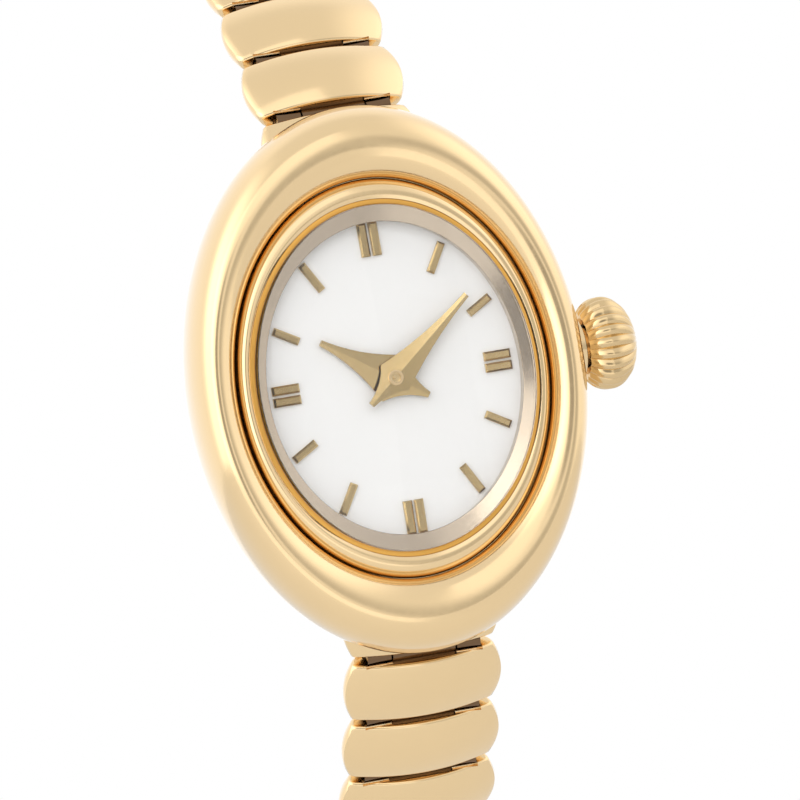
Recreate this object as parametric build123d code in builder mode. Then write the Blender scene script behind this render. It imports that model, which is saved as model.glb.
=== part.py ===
from build123d import *
import math
import os

# Oval ladies' quartz wristwatch with a link bracelet, in millimetres.
# x runs to 3 o'clock, z to 12 o'clock and the dial faces -y. The origin is the middle of the
# flat seat of the case back, and a height is the distance from that seat towards the dial.
# A pair of half axes is given as (towards 3 o'clock, towards 12 o'clock).

# Crystal and the gasket that shows round it as a seam. All that frames them is worked out outwards.
crystal_half = (7.2, 8.8)
crystal_floor = 5.35
crystal_edge = 0.4
crystal_dome = 0.75
seam_width = 0.3

# Bezel ring: a bead whose section rises from a groove, as shares of the way from the bead's outer
# edge to the seam and of its rise
bead_width = (0.55, 0.95)
bead_foot = 5.0
bead_rise = 0.65
bead_shares = [(0, 0), (0.06, 0.47), (0.3, 0.83), (0.6, 1), (1, 0.91)]
bezel_shelf = 4.75
bezel_play = 0.02
groove_width = 0.15

# Case: an oval tube that puffs up from its widest outline to a crest and rolls down to a valley by
# the bezel ring
dome_width = (2.05, 3.8)
widest_height = 3.5
crest_rise = 2.55
crest_fall = 0.85
under_drop = 3.0
valley_turn = 165
under_turn = -75
dome_turns = [under_turn, -50, -25, 0, 25, 50, 72, 90, 108, 126, 145, valley_turn]
case_floor = 0.6

# Flange under the crystal, and the dial under the flange
flange_tuck = (0.25, 0.15)
flange_width = (0.6, 0.9)
flange_play = 0.05
flange_top_play = 0.03
flange_lip_drop = 0.2
ledge_height = 4.4
dial_tuck = (0.5, 0.85)
dial_play = (0.15, 0.2)
dial_back = 4.0
dial_hole = 0.8
dial_foot_places = [(-5.2, 3.6), (5.2, -3.6)]
dial_foot_radius = 0.35
dial_foot_depth = 0.9

# Recess under each end of the case, where the bracelet's end piece goes
recess_top = 2.75
recess_deep_half = 3.35
recess_wall = 1.0
recess_wide_half = 4.35
recess_wide_depth = 1.4
recess_overrun = 2.0

# Hour markers: place along each 30 degree ray from the hub and length, at 12, 1, 2 and 3 o'clock
marker_width = 0.4
marker_rise = 0.24
marker_edge = 0.09
double_width = 0.46
double_gap = 0.12
marker_reaches = [7.02, 6.46, 5.80, 5.5]
marker_lengths = [1.7, 1.65, 1.4, 1.4]

# Hands: clockwise turn from 12, and a four-pointed star with hollow sides
hour_turn = 304.2
minute_turn = 50.9
hour_shape = {"reach": 4.1, "tail": 2.0, "shoulder": 1.3}
minute_shape = {"reach": 5.6, "tail": 1.85, "shoulder": 0.95}
hand_tip = 0.15
hand_hollow_share = 0.42
hand_thickness = 0.2
hand_edge = 0.05
hour_hand_height = 4.56
minute_hand_height = 4.93
hour_boss = 0.95
minute_boss = 0.62
boss_drop = 0.06

# Going train: arbors, tubes and wheels, with module, teeth and height of each wheel
arbor_radius = 0.25
cannon_radius = 0.39
hour_tube_bore = 0.44
hour_tube_radius = 0.62
running = 0.05
train_module = 0.085
rotor_module = 0.09
cannon_module = 0.1
centre_teeth = 48
third_pinion_teeth = 8
third_teeth = 40
rotor_teeth = 8
cannon_teeth = 12
minute_teeth = 36
minute_pinion_teeth = 10
hour_teeth = 40
third_ray = 60
rotor_ray = 110
minute_ray = 135
tooth_height_share = 1.7
addendum_share = 0.8
tooth_root_share = 1.5
tooth_tip_share = 0.7
centre_wheel_span = (1.62, 1.80)
third_pinion_span = (1.56, 2.22)
third_wheel_span = (1.95, 2.13)
rotor_magnet_span = (1.52, 1.83)
rotor_pinion_span = (1.90, 2.20)
rotor_magnet_radius = 0.55
cannon_wheel_span = (3.42, 3.58)
minute_wheel_span = (3.42, 3.58)
minute_pinion_top = 3.86
hour_wheel_span = (3.66, 3.82)
cannon_top = 5.2
arbor_top = 5.02
arbor_point = 0.1
pivot_radius = 0.12
pivot_length = 0.2

# Movement: main plate, bridge, screws, coil, circuit, battery and holder
plate_half = (6.65, 7.95)
plate_bottom = 2.3
works_floor = 3.34
hour_recess = 2.25
minute_recess = 2.1
stem_channel = 0.56
stem_channel_from = 2.9
bridge_span = (1.20, 1.48)
bridge_bosses = [(0, 0, 1.0), (-2.95, 1.0, 0.75), (3.75, 2.2, 0.75)]
train_boss = 0.8
bridge_screws = [(-2.95, 1.0), (3.75, 2.2)]
clamp_screw = (-4.6, -2.4)
screw_radius = 0.22
screw_head = 0.42
screw_head_height = 0.22
screw_reach = 1.9
screw_slot = 0.12
coil_from_band = 1.1
coil_height = 1.93
coil_half_length = 2.45
coil_radius = 0.68
core_half_length = 3.5
core_half_width = 0.3
core_half_thickness = 0.125
stator_span = (1.55, 1.80)
stator_half_width = 3.5
stator_band_half = 0.8
stator_leg = 0.9
stator_past_coil = 0.4
rotor_gap = 0.18
board_span = (2.04, 2.22)
board_half = (6.0, 7.2)
board_limit_z = -0.15
chip_place = (-4.35, -1.1)
chip_half = 0.7
chip_thickness = 0.45
can_place = (4.3, -2.15)
can_radius = 0.55
can_length = 3.4
solder_gap = 0.01
battery_place_z = -4.75
battery_radius = 2.4
battery_span = (1.0, 2.6)
battery_step = 0.28
battery_edge = 0.12
clamp_span = (0.86, 0.98)
clamp_half_width = 0.75
clamp_end = (1.0, -5.2)
holder_play = (0.05, 0.07)
plate_play = 0.05
holder_span = (1.0, 3.98)

# Crown, stem and tube, on an axis towards 3 o'clock
stem_height = 3.3
stem_radius = 0.45
stem_inner = 3.1
stem_groove = (4.6, 5.0)
stem_groove_radius = 0.3
tube_bore = 0.55
tube_radius = 1.0
collar_radius = 1.45
collar_depth = 0.4
collar_length = 0.47
crown_lift = 0.11
crown_play = 0.12
crown_lip = 0.32
crown_cap = 0.42
crown_ribs = 22
crown_rib_share = 0.955
crown_radius = 2.38
crown_shares = [(0, 0.735), (0.14, 0.89), (0.36, 1), (0.58, 0.98), (0.79, 0.83), (0.92, 0.63), (1, 0.4)]
gasket_length = 0.3
gasket_width = 0.27
gasket_play = 0.05
tube_past_gasket = 0.85
stem_thread = 0.68

# Case back, with a rim that snaps into the case over a gasket
back_flange = (0.4, 0.5)
back_edge = 0.22
back_rim_width = 0.45
back_rim_top = 1.0
back_step_width = 0.4
back_gasket_play = 0.05
back_gasket_grip = 0.03
back_gasket_top = 0.95
back_gasket_bottom = 0.6

# Bracelet: links of one size on pins, hung from an end piece at each end of the case
link_count = 13
link_pitch = 3.9
link_gap = 0.4
link_half_width = 4.2
link_waist = 0.46
link_top = 1.3
link_top_fall = 0.34
link_bottom = 0.85
link_bottom_fall = 0.27
link_side_share = 0.32
link_stations = [-1, -0.7, -0.35, 0, 0.35, 0.7, 1]
end_stations = [0.2, 0.45, 0.7, 0.85, 1]
link_corner = 0.5
knuckle_radius = 0.55
knuckle_relief = 0.66
tongue_half = 1.65
tongue_play = 0.1
ear_outer = 3.0
pin_radius = 0.3
pin_play = 0.05
first_pivot_inset = 0.21
first_pivot_height = 1.47
end_slope = 22.0
first_bend = 27.0
clasp_half_length = 9.5
clasp_gap = 0.6
open_share = 0.44

# End pieces and spring bars
end_block_play = 0.1
end_block_inset = 1.1
end_block_bottom = 0.75
end_play = 0.05
bar_from_wall = 0.6
bar_height = 1.65
bar_radius = 0.35
bar_hole = 0.37
bar_tip_radius = 0.2
bar_tip_bite = 0.4
bar_end_play = 0.05

# Clasp: a box with a mouth, and a body with a folded spring tongue
box_length = 12.8
mouth_half_width = 2.9
mouth_half_height = 0.5
mouth_from = 8.3
body_end = 5.0
blade_half_width = 2.6
blade_half_thickness = 0.32
blade_slot_half = 0.1
blade_end = 9.4
blade_fold = 0.35
press_half_width = 1.3
press_from = 5.15
press_to = 5.85
press_top = 1.15

# Sizes for cutting clean through a piece
through = 20.0

os.makedirs("parts", exist_ok=True)


def keep(piece, name):
    """Label a finished piece and write its file."""
    piece.part.label = name
    export_step(piece.part, f"parts/{name}.step")


def spot(x, z, height):
    """Plane parallel to the dial, facing out of it, whose own x and y run to 3 and 12 o'clock."""
    return Plane(origin=(x, -height, z), x_dir=(1, 0, 0), z_dir=(0, -1, 0))


def turned(x, z, height, turn):
    """Plane parallel to the dial whose own y points clockwise from 12 by a turn in degrees."""
    angle = math.radians(turn)
    return Plane(origin=(x, -height, z), x_dir=(math.cos(angle), 0, -math.sin(angle)), z_dir=(0, -1, 0))


def oval(half_axes, bottom, top, mode=Mode.ADD):
    """Upright oval prism about the middle of the watch."""
    with BuildSketch(spot(0, 0, bottom)) as base:
        Ellipse(*half_axes)
    extrude(base.sketch, amount=top - bottom, mode=mode)


def disc(x, z, radius, bottom, top, mode=Mode.ADD):
    """Upright round prism."""
    with BuildSketch(spot(x, z, bottom)) as base:
        Circle(radius)
    extrude(base.sketch, amount=top - bottom, mode=mode)


def block(left, right, low, high, bottom, top, mode=Mode.ADD):
    """Upright rectangular prism between limits along x, z and height."""
    middle = spot((left + right) / 2, (low + high) / 2, bottom)
    with BuildSketch(middle) as base:
        Rectangle(right - left, high - low)
    extrude(base.sketch, amount=top - bottom, mode=mode)


def bar(radius, start, end, z, height, mode=Mode.ADD):
    """Round bar along x."""
    face = Plane(origin=(start, -height, z), x_dir=(0, 0, 1), z_dir=(1, 0, 0))
    with BuildSketch(face) as base:
        Circle(radius)
    extrude(base.sketch, amount=end - start, mode=mode)


def wheel(x, z, teeth, module, span, first_tooth):
    """Toothed wheel whose first tooth points along the given ray."""
    pitch_radius = module * teeth / 2
    tooth_height = tooth_height_share * module
    root_radius = pitch_radius + addendum_share * module - tooth_height
    root_half = tooth_root_share * module / 2
    tip_half = tooth_tip_share * module / 2
    foot = module / 2
    corners = [(-foot, -root_half), (tooth_height, -tip_half), (tooth_height, tip_half), (-foot, root_half)]
    with BuildSketch(spot(x, z, span[0])) as base:
        Circle(root_radius)
        with PolarLocations(root_radius, teeth, start_angle=first_tooth):
            Polygon(*corners, align=None)
    extrude(base.sketch, amount=span[1] - span[0])


def outward(half_axes, width):
    """Half axes grown by a width, or by a width for each."""
    widths = width if isinstance(width, tuple) else (width, width)
    return tuple(half + extra for half, extra in zip(half_axes, widths))


def inward(half_axes, width):
    """Half axes shrunk by a width, or by a width for each."""
    widths = width if isinstance(width, tuple) else (width, width)
    return tuple(half - extra for half, extra in zip(half_axes, widths))


def along(ray, distance, start=(0, 0)):
    """Point at a distance from a start along a ray counted from 3 o'clock towards 12."""
    angle = math.radians(ray)
    return (start[0] + distance * math.cos(angle), start[1] + distance * math.sin(angle))


seam_half = outward(crystal_half, seam_width)
seam_height = bead_foot + bead_rise * bead_shares[-1][1]
bead_half = outward(seam_half, bead_width)
valley_half = outward(bead_half, groove_width)
outline_half = outward(valley_half, dome_width)
flange_half = outward(crystal_half, flange_tuck)
flange_bore = outward(flange_half, flange_play)
flange_opening = inward(crystal_half, flange_width)
flange_top = crystal_floor - flange_top_play
flange_lip = flange_top - flange_lip_drop
dial_half = outward(flange_half, dial_tuck)
movement_bore = outward(dial_half, dial_play)
holder_outer = inward(movement_bore, holder_play)
holder_inner = outward(plate_half, plate_play)
back_step = outward(movement_bore, back_step_width)
back_half = outward(back_step, back_flange)
back_rim_inner = inward(holder_outer, back_rim_width)
back_gasket_outer = inward(back_step, back_gasket_play)
back_gasket_inner = outward(holder_outer, back_gasket_grip)

recess_deep_from = movement_bore[1] + recess_wall
recess_wide_from = outline_half[1] - recess_wide_depth
recess_reach = outline_half[1] + recess_overrun
end_block_half = recess_deep_half - end_block_play
end_block_span = (recess_deep_from + end_block_play, outline_half[1] - end_block_inset)
end_block_heights = (end_block_bottom, recess_top - end_block_play)
bar_place = (recess_deep_from + bar_from_wall, bar_height)
bar_half = end_block_half - bar_end_play
bar_tip_reach = recess_deep_half + bar_tip_bite
first_pivot = (outline_half[1] - first_pivot_inset, first_pivot_height)

third_place = along(third_ray, train_module * (centre_teeth + third_pinion_teeth) / 2)
rotor_place = along(rotor_ray, rotor_module * (third_teeth + rotor_teeth) / 2, third_place)
minute_place = along(minute_ray, cannon_module * (cannon_teeth + minute_teeth) / 2)
minute_pinion_module = 2 * math.hypot(*minute_place) / (minute_pinion_teeth + hour_teeth)

stator_band = (rotor_place[1] - stator_band_half, rotor_place[1] + stator_band_half)
coil_place_z = stator_band[1] + coil_from_band
stator_top = coil_place_z + stator_past_coil

tube_inner = movement_bore[0]
collar_from = outline_half[0] - collar_depth
collar_span = (collar_from, collar_from + collar_length)
crown_base = collar_span[1] + crown_lift
gasket_span = (crown_base + crown_lip, crown_base + crown_lip + gasket_length)
gasket_radii = (tube_radius + gasket_play, tube_radius + gasket_play + gasket_width)
tube_outer = gasket_span[1] + tube_past_gasket
crown_bore_end = tube_outer + crown_play
stem_outer = crown_bore_end + stem_thread
crown_end = stem_outer + crown_cap


def case_envelope(grow):
    """Outer form of the case with the recesses for the end pieces, grown on every side."""
    with BuildPart() as envelope:
        for turn in dome_turns:
            angle = math.radians(turn)
            swell = 1 - math.cos(math.radians(valley_turn))
            half_axes = []
            for outer, inner in zip(outline_half, valley_half):
                swing = (outer - inner) / swell
                half_axes.append(outer - swing + (swing + grow) * math.cos(angle))
            if turn > 90:
                fallen = (1 - math.sin(angle)) / (1 - math.sin(math.radians(valley_turn)))
                rise = crest_rise - crest_fall * fallen
            else:
                rise = (crest_rise if turn > 0 else under_drop) * math.sin(angle)
            with BuildSketch(spot(0, 0, widest_height + rise + grow * math.sin(angle))):
                Ellipse(*half_axes)
        loft()
        ceiling = recess_top - grow
        for side in (1, -1):
            for half, start in ((recess_deep_half, recess_deep_from), (recess_wide_half, recess_wide_from)):
                low, high = sorted((side * (start + grow), side * recess_reach))
                block(grow - half, half - grow, low, high, -recess_top, ceiling, Mode.SUBTRACT)
    return envelope.part


def make_case():
    with BuildPart() as case:
        add(case_envelope(0))
        oval(movement_bore, case_floor - through, ledge_height, Mode.SUBTRACT)
        oval(flange_bore, ledge_height, bezel_shelf, Mode.SUBTRACT)
        oval(valley_half, bezel_shelf, through, Mode.SUBTRACT)
        oval(back_step, 0, back_gasket_top, Mode.SUBTRACT)
        bar(tube_radius, tube_inner, outline_half[0], 0, stem_height, Mode.SUBTRACT)
        bar(collar_radius, collar_from, crown_end, 0, stem_height, Mode.SUBTRACT)
        for side in (1, -1):
            z, height = side * bar_place[0], bar_place[1]
            bar(bar_tip_radius, -bar_tip_reach, bar_tip_reach, z, height, Mode.SUBTRACT)
    keep(case, "case_body")


def make_bezel_ring():
    with BuildPart() as ring:
        oval(inward(valley_half, bezel_play), bezel_shelf, bead_foot)
        for share, rise_share in bead_shares:
            half_axes = [bead + share * (seam - bead) for bead, seam in zip(bead_half, seam_half)]
            with BuildSketch(spot(0, 0, bead_foot + rise_share * bead_rise)):
                Ellipse(*half_axes)
        loft(ruled=True)
        oval(seam_half, bezel_shelf - through, through, Mode.SUBTRACT)
    keep(ring, "bezel_ring")


def make_crystal():
    with BuildPart() as crystal:
        oval(crystal_half, crystal_floor, crystal_floor + crystal_edge)
        long_half = crystal_half[1]
        dome_radius = (long_half ** 2 + crystal_dome ** 2) / (2 * crystal_dome)
        with BuildPart(mode=Mode.PRIVATE) as cap:
            with BuildSketch(spot(0, 0, crystal_floor + crystal_edge)):
                Ellipse(*crystal_half)
            extrude(amount=crystal_dome)
            centre_height = crystal_floor + crystal_edge + crystal_dome - dome_radius
            with Locations((0, -centre_height, 0)):
                Sphere(dome_radius, mode=Mode.INTERSECT)
        add(cap.part)
    keep(crystal, "crystal")
    with BuildPart() as gasket:
        oval(seam_half, crystal_floor, seam_height)
        oval(crystal_half, crystal_floor, seam_height, Mode.SUBTRACT)
    keep(gasket, "crystal_gasket")


def make_flange():
    with BuildPart() as flange:
        oval(flange_half, ledge_height, flange_top)
        oval(flange_opening, ledge_height, flange_top, Mode.SUBTRACT)
        with BuildSketch(spot(0, 0, flange_lip)):
            Ellipse(*flange_opening)
        with BuildSketch(spot(0, 0, flange_top)):
            Ellipse(*crystal_half)
        loft(ruled=True, mode=Mode.SUBTRACT)
    keep(flange, "dial_flange")


def make_dial():
    with BuildPart() as dial:
        oval(dial_half, dial_back, ledge_height)
        disc(0, 0, dial_hole, dial_back, ledge_height, Mode.SUBTRACT)
        for x, z in dial_foot_places:
            disc(x, z, dial_foot_radius, dial_back - dial_foot_depth, dial_back)
    keep(dial, "dial")


def make_markers():
    with BuildPart() as markers:
        for hour in range(1, 13):
            nearest = min(hour % 6, 6 - hour % 6)
            length = marker_lengths[nearest]
            x, z = along(90 - 30 * hour, marker_reaches[nearest])
            with BuildSketch(turned(x, z, ledge_height, 30 * hour)):
                if hour % 3 == 0:
                    with GridLocations(double_width + double_gap, 0, 2, 1):
                        Rectangle(double_width, length)
                else:
                    Rectangle(marker_width, length)
            extrude(amount=marker_rise)
        chamfer(markers.edges().group_by(Axis.Y)[0], marker_edge)
    keep(markers, "hour_markers")


def hand_form(turn, shape, height):
    """Star-shaped hand, pointing clockwise from 12 by its turn, with a ridge along its middle."""
    face = turned(0, 0, height, turn)
    reach, tail, shoulder = shape["reach"], shape["tail"], shape["shoulder"]
    with BuildPart() as form:
        with BuildSketch(face):
            with BuildLine():
                for side in (1, -1):
                    for end in (reach, -tail):
                        middle = (side * (hand_tip + shoulder) / 2 * (1 - hand_hollow_share / 2),
                                  end * hand_hollow_share)
                        ThreePointArc((side * hand_tip, end), middle, (side * shoulder, 0))
                for end in (reach, -tail):
                    Line((-hand_tip, end), (hand_tip, end))
            make_face()
        extrude(amount=hand_thickness)
        across = Plane(origin=face.from_local_coords((0, -tail, 0)), x_dir=face.x_dir, z_dir=face.y_dir)
        with BuildSketch(across) as roof:
            with BuildLine():
                Polyline((-shoulder, 0), (-shoulder, -hand_edge), (0, -hand_thickness),
                         (shoulder, -hand_edge), (shoulder, 0), close=True)
            make_face()
        extrude(roof.sketch, amount=tail + reach, mode=Mode.INTERSECT)
    return form.part


def make_hands():
    hands = (("hour_hand", hour_turn, hour_shape, hour_hand_height, hour_boss, hour_tube_radius),
             ("minute_hand", minute_turn, minute_shape, minute_hand_height, minute_boss, cannon_radius))
    for name, turn, shape, height, boss, bore in hands:
        with BuildPart() as hand:
            add(hand_form(turn, shape, height))
            disc(0, 0, boss, height - boss_drop, height + hand_edge)
            disc(0, 0, bore, height - boss_drop, height + hand_thickness, Mode.SUBTRACT)
        keep(hand, name)


def make_train():
    with BuildPart() as centre:
        wheel(0, 0, centre_teeth, train_module, centre_wheel_span, third_ray)
        disc(0, 0, arbor_radius, bridge_span[1] + running, arbor_top)
        disc(0, 0, arbor_point, arbor_top, cannon_top - running)
        disc(0, 0, pivot_radius, bridge_span[0] + running, bridge_span[1] + running)
    keep(centre, "centre_wheel")
    with BuildPart() as cannon:
        wheel(0, 0, cannon_teeth, cannon_module, cannon_wheel_span, minute_ray)
        disc(0, 0, cannon_radius, cannon_wheel_span[0], cannon_top)
        disc(0, 0, arbor_radius, cannon_wheel_span[0], cannon_top, Mode.SUBTRACT)
    keep(cannon, "cannon_pinion")
    with BuildPart() as hour:
        half_tooth = 180 / hour_teeth
        wheel(0, 0, hour_teeth, minute_pinion_module, hour_wheel_span, minute_ray + half_tooth)
        disc(0, 0, hour_tube_radius, hour_wheel_span[0], hour_hand_height + hand_thickness - running)
        disc(0, 0, hour_tube_bore, hour_wheel_span[0], hour_hand_height + hand_thickness, Mode.SUBTRACT)
    keep(hour, "hour_wheel")
    with BuildPart() as minute:
        back_ray = minute_ray + 180
        wheel(*minute_place, minute_teeth, cannon_module, minute_wheel_span, back_ray + 180 / minute_teeth)
        pinion_span = (minute_wheel_span[0], minute_pinion_top)
        wheel(*minute_place, minute_pinion_teeth, minute_pinion_module, pinion_span, back_ray)
        disc(*minute_place, arbor_radius, minute_wheel_span[0], minute_pinion_top, Mode.SUBTRACT)
    keep(minute, "minute_wheel")
    with BuildPart() as third:
        back_ray = third_ray + 180
        wheel(*third_place, third_pinion_teeth, train_module, third_pinion_span,
              back_ray + 180 / third_pinion_teeth)
        wheel(*third_place, third_teeth, rotor_module, third_wheel_span, rotor_ray)
        disc(*third_place, pivot_radius, third_pinion_span[0] - pivot_length,
             third_pinion_span[1] + 2 * pivot_length)
    keep(third, "third_wheel")
    with BuildPart() as rotor:
        back_ray = rotor_ray + 180
        wheel(*rotor_place, rotor_teeth, rotor_module, rotor_pinion_span, back_ray + 180 / rotor_teeth)
        disc(*rotor_place, rotor_magnet_radius, *rotor_magnet_span)
        disc(*rotor_place, pivot_radius, rotor_magnet_span[0] - pivot_length,
             rotor_pinion_span[1] + 2 * pivot_length)
    keep(rotor, "rotor")


def posts():
    """Posts of the main plate, each with the height that its foot comes down to."""
    return [(x, z, bridge_span[1]) for x, z in bridge_screws] + [(*clamp_screw, clamp_span[1])]


def make_plate_and_bridge():
    pivot_hole = pivot_radius + running
    coil_room = coil_radius + 2 * running
    with BuildPart() as plate:
        oval(plate_half, plate_bottom, dial_back)
        disc(0, 0, hour_recess, works_floor, dial_back, Mode.SUBTRACT)
        disc(*minute_place, minute_recess, works_floor, dial_back, Mode.SUBTRACT)
        disc(0, 0, arbor_radius + running, plate_bottom, dial_back, Mode.SUBTRACT)
        disc(*minute_place, arbor_radius - running, works_floor, minute_pinion_top)
        for place in (third_place, rotor_place):
            disc(*place, pivot_hole, plate_bottom, plate_bottom + 2 * pivot_length, Mode.SUBTRACT)
        disc(0, battery_place_z, battery_radius + running, plate_bottom,
             battery_span[1] + running, Mode.SUBTRACT)
        block(-core_half_length - running, core_half_length + running, coil_place_z - coil_room,
              coil_place_z + coil_room, plate_bottom, coil_height + coil_room, Mode.SUBTRACT)
        bar(stem_channel, stem_channel_from, through, 0, stem_height, Mode.SUBTRACT)
        for x, z in dial_foot_places:
            disc(x, z, dial_foot_radius, dial_back - dial_foot_depth, dial_back, Mode.SUBTRACT)
        for x, z, foot in posts():
            disc(x, z, screw_head + running, foot, plate_bottom)
            disc(x, z, screw_radius, foot, bridge_span[0] + screw_reach, Mode.SUBTRACT)
    keep(plate, "main_plate")
    with BuildPart() as bridge:
        with BuildSketch(spot(0, 0, bridge_span[0])):
            for x, z, radius in bridge_bosses + [(*third_place, train_boss), (*rotor_place, train_boss)]:
                with Locations((x, z)):
                    Circle(radius)
            make_hull(faces().edges())
        extrude(amount=bridge_span[1] - bridge_span[0])
        for place in (third_place, rotor_place, (0, 0)):
            disc(*place, pivot_hole, *bridge_span, Mode.SUBTRACT)
        for place in bridge_screws:
            disc(*place, screw_radius, *bridge_span, Mode.SUBTRACT)
    keep(bridge, "train_bridge")


def make_screws():
    seats = [(x, z, bridge_span[0]) for x, z in bridge_screws] + [(*clamp_screw, clamp_span[0])]
    with BuildPart() as screws:
        for x, z, seat in seats:
            top = bridge_span[0] + screw_reach - running
            disc(x, z, screw_radius, seat, top)
            disc(x, z, screw_head, seat - screw_head_height, seat)
            head_bottom = seat - screw_head_height
            block(x - screw_head, x + screw_head, z - screw_slot / 2, z + screw_slot / 2,
                  head_bottom, head_bottom + screw_slot, Mode.SUBTRACT)
    keep(screws, "movement_screws")


def make_motor():
    with BuildPart() as stator:
        low, high = stator_band
        block(-stator_half_width, stator_half_width, low, high, *stator_span)
        for side in (1, -1):
            left, right = sorted((side * stator_half_width, side * (stator_half_width - stator_leg)))
            block(left, right, high, stator_top, *stator_span)
        disc(*rotor_place, rotor_magnet_radius + rotor_gap, *stator_span, Mode.SUBTRACT)
    keep(stator, "stator")
    with BuildPart() as coil:
        bar(coil_radius, -coil_half_length, coil_half_length, coil_place_z, coil_height)
        for gap, mode in ((solder_gap, Mode.SUBTRACT), (0, Mode.ADD)):
            block(-core_half_length, core_half_length,
                  coil_place_z - core_half_width - gap, coil_place_z + core_half_width + gap,
                  coil_height - core_half_thickness - gap, coil_height + core_half_thickness + gap, mode)
    keep(coil, "coil")


def make_circuit():
    inside = 2 * running
    with BuildPart() as board:
        oval(board_half, *board_span)
        block(-through, through, board_limit_z, through, *board_span, Mode.SUBTRACT)
        disc(0, 0, arbor_radius + inside, *board_span, Mode.SUBTRACT)
        disc(0, battery_place_z, battery_radius + inside, *board_span, Mode.SUBTRACT)
        disc(*clamp_screw, screw_head + inside, *board_span, Mode.SUBTRACT)
        x, z = chip_place
        underside = board_span[0] - solder_gap
        block(x - chip_half, x + chip_half, z - chip_half, z + chip_half,
              underside - chip_thickness, underside)
        x, z = can_place
        end = Plane(origin=(x, can_radius - underside, z - can_length / 2))
        with BuildSketch(end) as can:
            Circle(can_radius)
        extrude(can.sketch, amount=can_length)
    keep(board, "circuit_board")


def make_battery():
    with BuildPart() as battery:
        bottom, top = battery_span
        disc(0, battery_place_z, battery_radius, bottom, top - battery_step)
        fillet(battery.edges().group_by(Axis.Y)[-1], battery_edge)
        disc(0, battery_place_z, battery_radius - battery_step, top - battery_step, top)
    keep(battery, "battery")
    with BuildPart() as clamp:
        with BuildSketch(spot(0, 0, clamp_span[0])):
            for place in (clamp_screw, clamp_end):
                with Locations(place):
                    Circle(clamp_half_width)
            make_hull(faces().edges())
            with Locations(clamp_screw):
                Circle(screw_radius, mode=Mode.SUBTRACT)
        extrude(amount=clamp_span[1] - clamp_span[0])
    keep(clamp, "battery_clamp")


def make_holder():
    with BuildPart() as holder:
        oval(holder_outer, *holder_span)
        oval(holder_inner, *holder_span, Mode.SUBTRACT)
        bar(stem_channel, 0, through, 0, stem_height, Mode.SUBTRACT)
    keep(holder, "movement_holder")


def make_crown():
    with BuildPart() as crown:
        for share, radius_share in crown_shares:
            x = crown_base + share * (crown_end - crown_base)
            radius = radius_share * crown_radius
            with BuildSketch(Plane(origin=(x, -stem_height, 0), x_dir=(0, 0, 1), z_dir=(1, 0, 0))):
                with BuildLine():
                    valley = radius * crown_rib_share
                    for rib in range(crown_ribs):
                        turns = [2 * math.pi * (rib + share) / crown_ribs for share in (-0.5, 0, 0.5)]
                        ThreePointArc(*[(reach * math.cos(turn), reach * math.sin(turn))
                                        for reach, turn in zip((valley, radius, valley), turns)])
                make_face()
        loft()
        bar(tube_radius + crown_play, crown_base, crown_bore_end, 0, stem_height, Mode.SUBTRACT)
        bar(gasket_radii[1] + gasket_play, gasket_span[0] - gasket_play, gasket_span[1] + gasket_play,
            0, stem_height, Mode.SUBTRACT)
        bar(stem_radius, crown_base, stem_outer, 0, stem_height, Mode.SUBTRACT)
    keep(crown, "crown")
    with BuildPart() as gasket:
        bar(gasket_radii[1], *gasket_span, 0, stem_height)
        bar(gasket_radii[0], *gasket_span, 0, stem_height, Mode.SUBTRACT)
    keep(gasket, "crown_gasket")
    with BuildPart() as tube:
        bar(tube_radius, tube_inner, tube_outer, 0, stem_height)
        bar(collar_radius, *collar_span, 0, stem_height)
        bar(tube_bore, tube_inner, tube_outer, 0, stem_height, Mode.SUBTRACT)
    keep(tube, "crown_tube")
    with BuildPart() as stem:
        bar(stem_radius, stem_inner, stem_outer, 0, stem_height)
        bar(stem_radius, *stem_groove, 0, stem_height, Mode.SUBTRACT)
        bar(stem_groove_radius, *stem_groove, 0, stem_height)
    keep(stem, "winding_stem")


def make_back():
    with BuildPart() as back:
        oval(back_half, 0, case_floor)
        fillet(back.edges().group_by(Axis.Y)[-1], back_edge)
        oval(holder_outer, case_floor, back_rim_top)
        oval(back_rim_inner, case_floor, back_rim_top, Mode.SUBTRACT)
    keep(back, "case_back")
    with BuildPart() as gasket:
        oval(back_gasket_outer, back_gasket_bottom, back_gasket_top)
        oval(back_gasket_inner, back_gasket_bottom, back_gasket_top, Mode.SUBTRACT)
    keep(gasket, "case_back_gasket")


def last_pivot(bend):
    """Place across the wrist of a strand's last pivot when every link after the first bends alike."""
    z = first_pivot[0]
    for link in range(link_count):
        z += link_pitch * math.cos(math.radians(end_slope + first_bend + link * bend))
    return z


def closing_bend():
    """Bend from link to link that brings the last pivot to the clasp, by halving an interval."""
    low, high = 5.0, 15.0
    while high - low > 1e-6:
        middle = (low + high) / 2
        if last_pivot(middle) > clasp_half_length:
            low = middle
        else:
            high = middle
    return (low + high) / 2


link_bend = closing_bend()
clasp_bend = 180 - end_slope - first_bend - (link_count - 1) * link_bend


def strand_frame(side, z, height, slope):
    """Frame of a bracelet piece: its x runs along the strand, its z out of the wrist."""
    angle = math.radians(slope)
    return Plane(origin=(0, -height, side * z), x_dir=(0, math.sin(angle), side * math.cos(angle)),
                 z_dir=(0, -math.cos(angle), side * math.sin(angle)))


def strand_frames(side):
    """Frames of a strand's links and of its clasp half, with the clasp undone and the strand open."""
    z, height = first_pivot
    slope = end_slope
    frames = []
    for bend in [first_bend] + [link_bend] * (link_count - 1) + [clasp_bend]:
        slope += bend * (1 - open_share)
        frames.append(strand_frame(side, z, height, slope))
        z += link_pitch * math.cos(math.radians(slope))
        height -= link_pitch * math.sin(math.radians(slope))
    return frames


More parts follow.
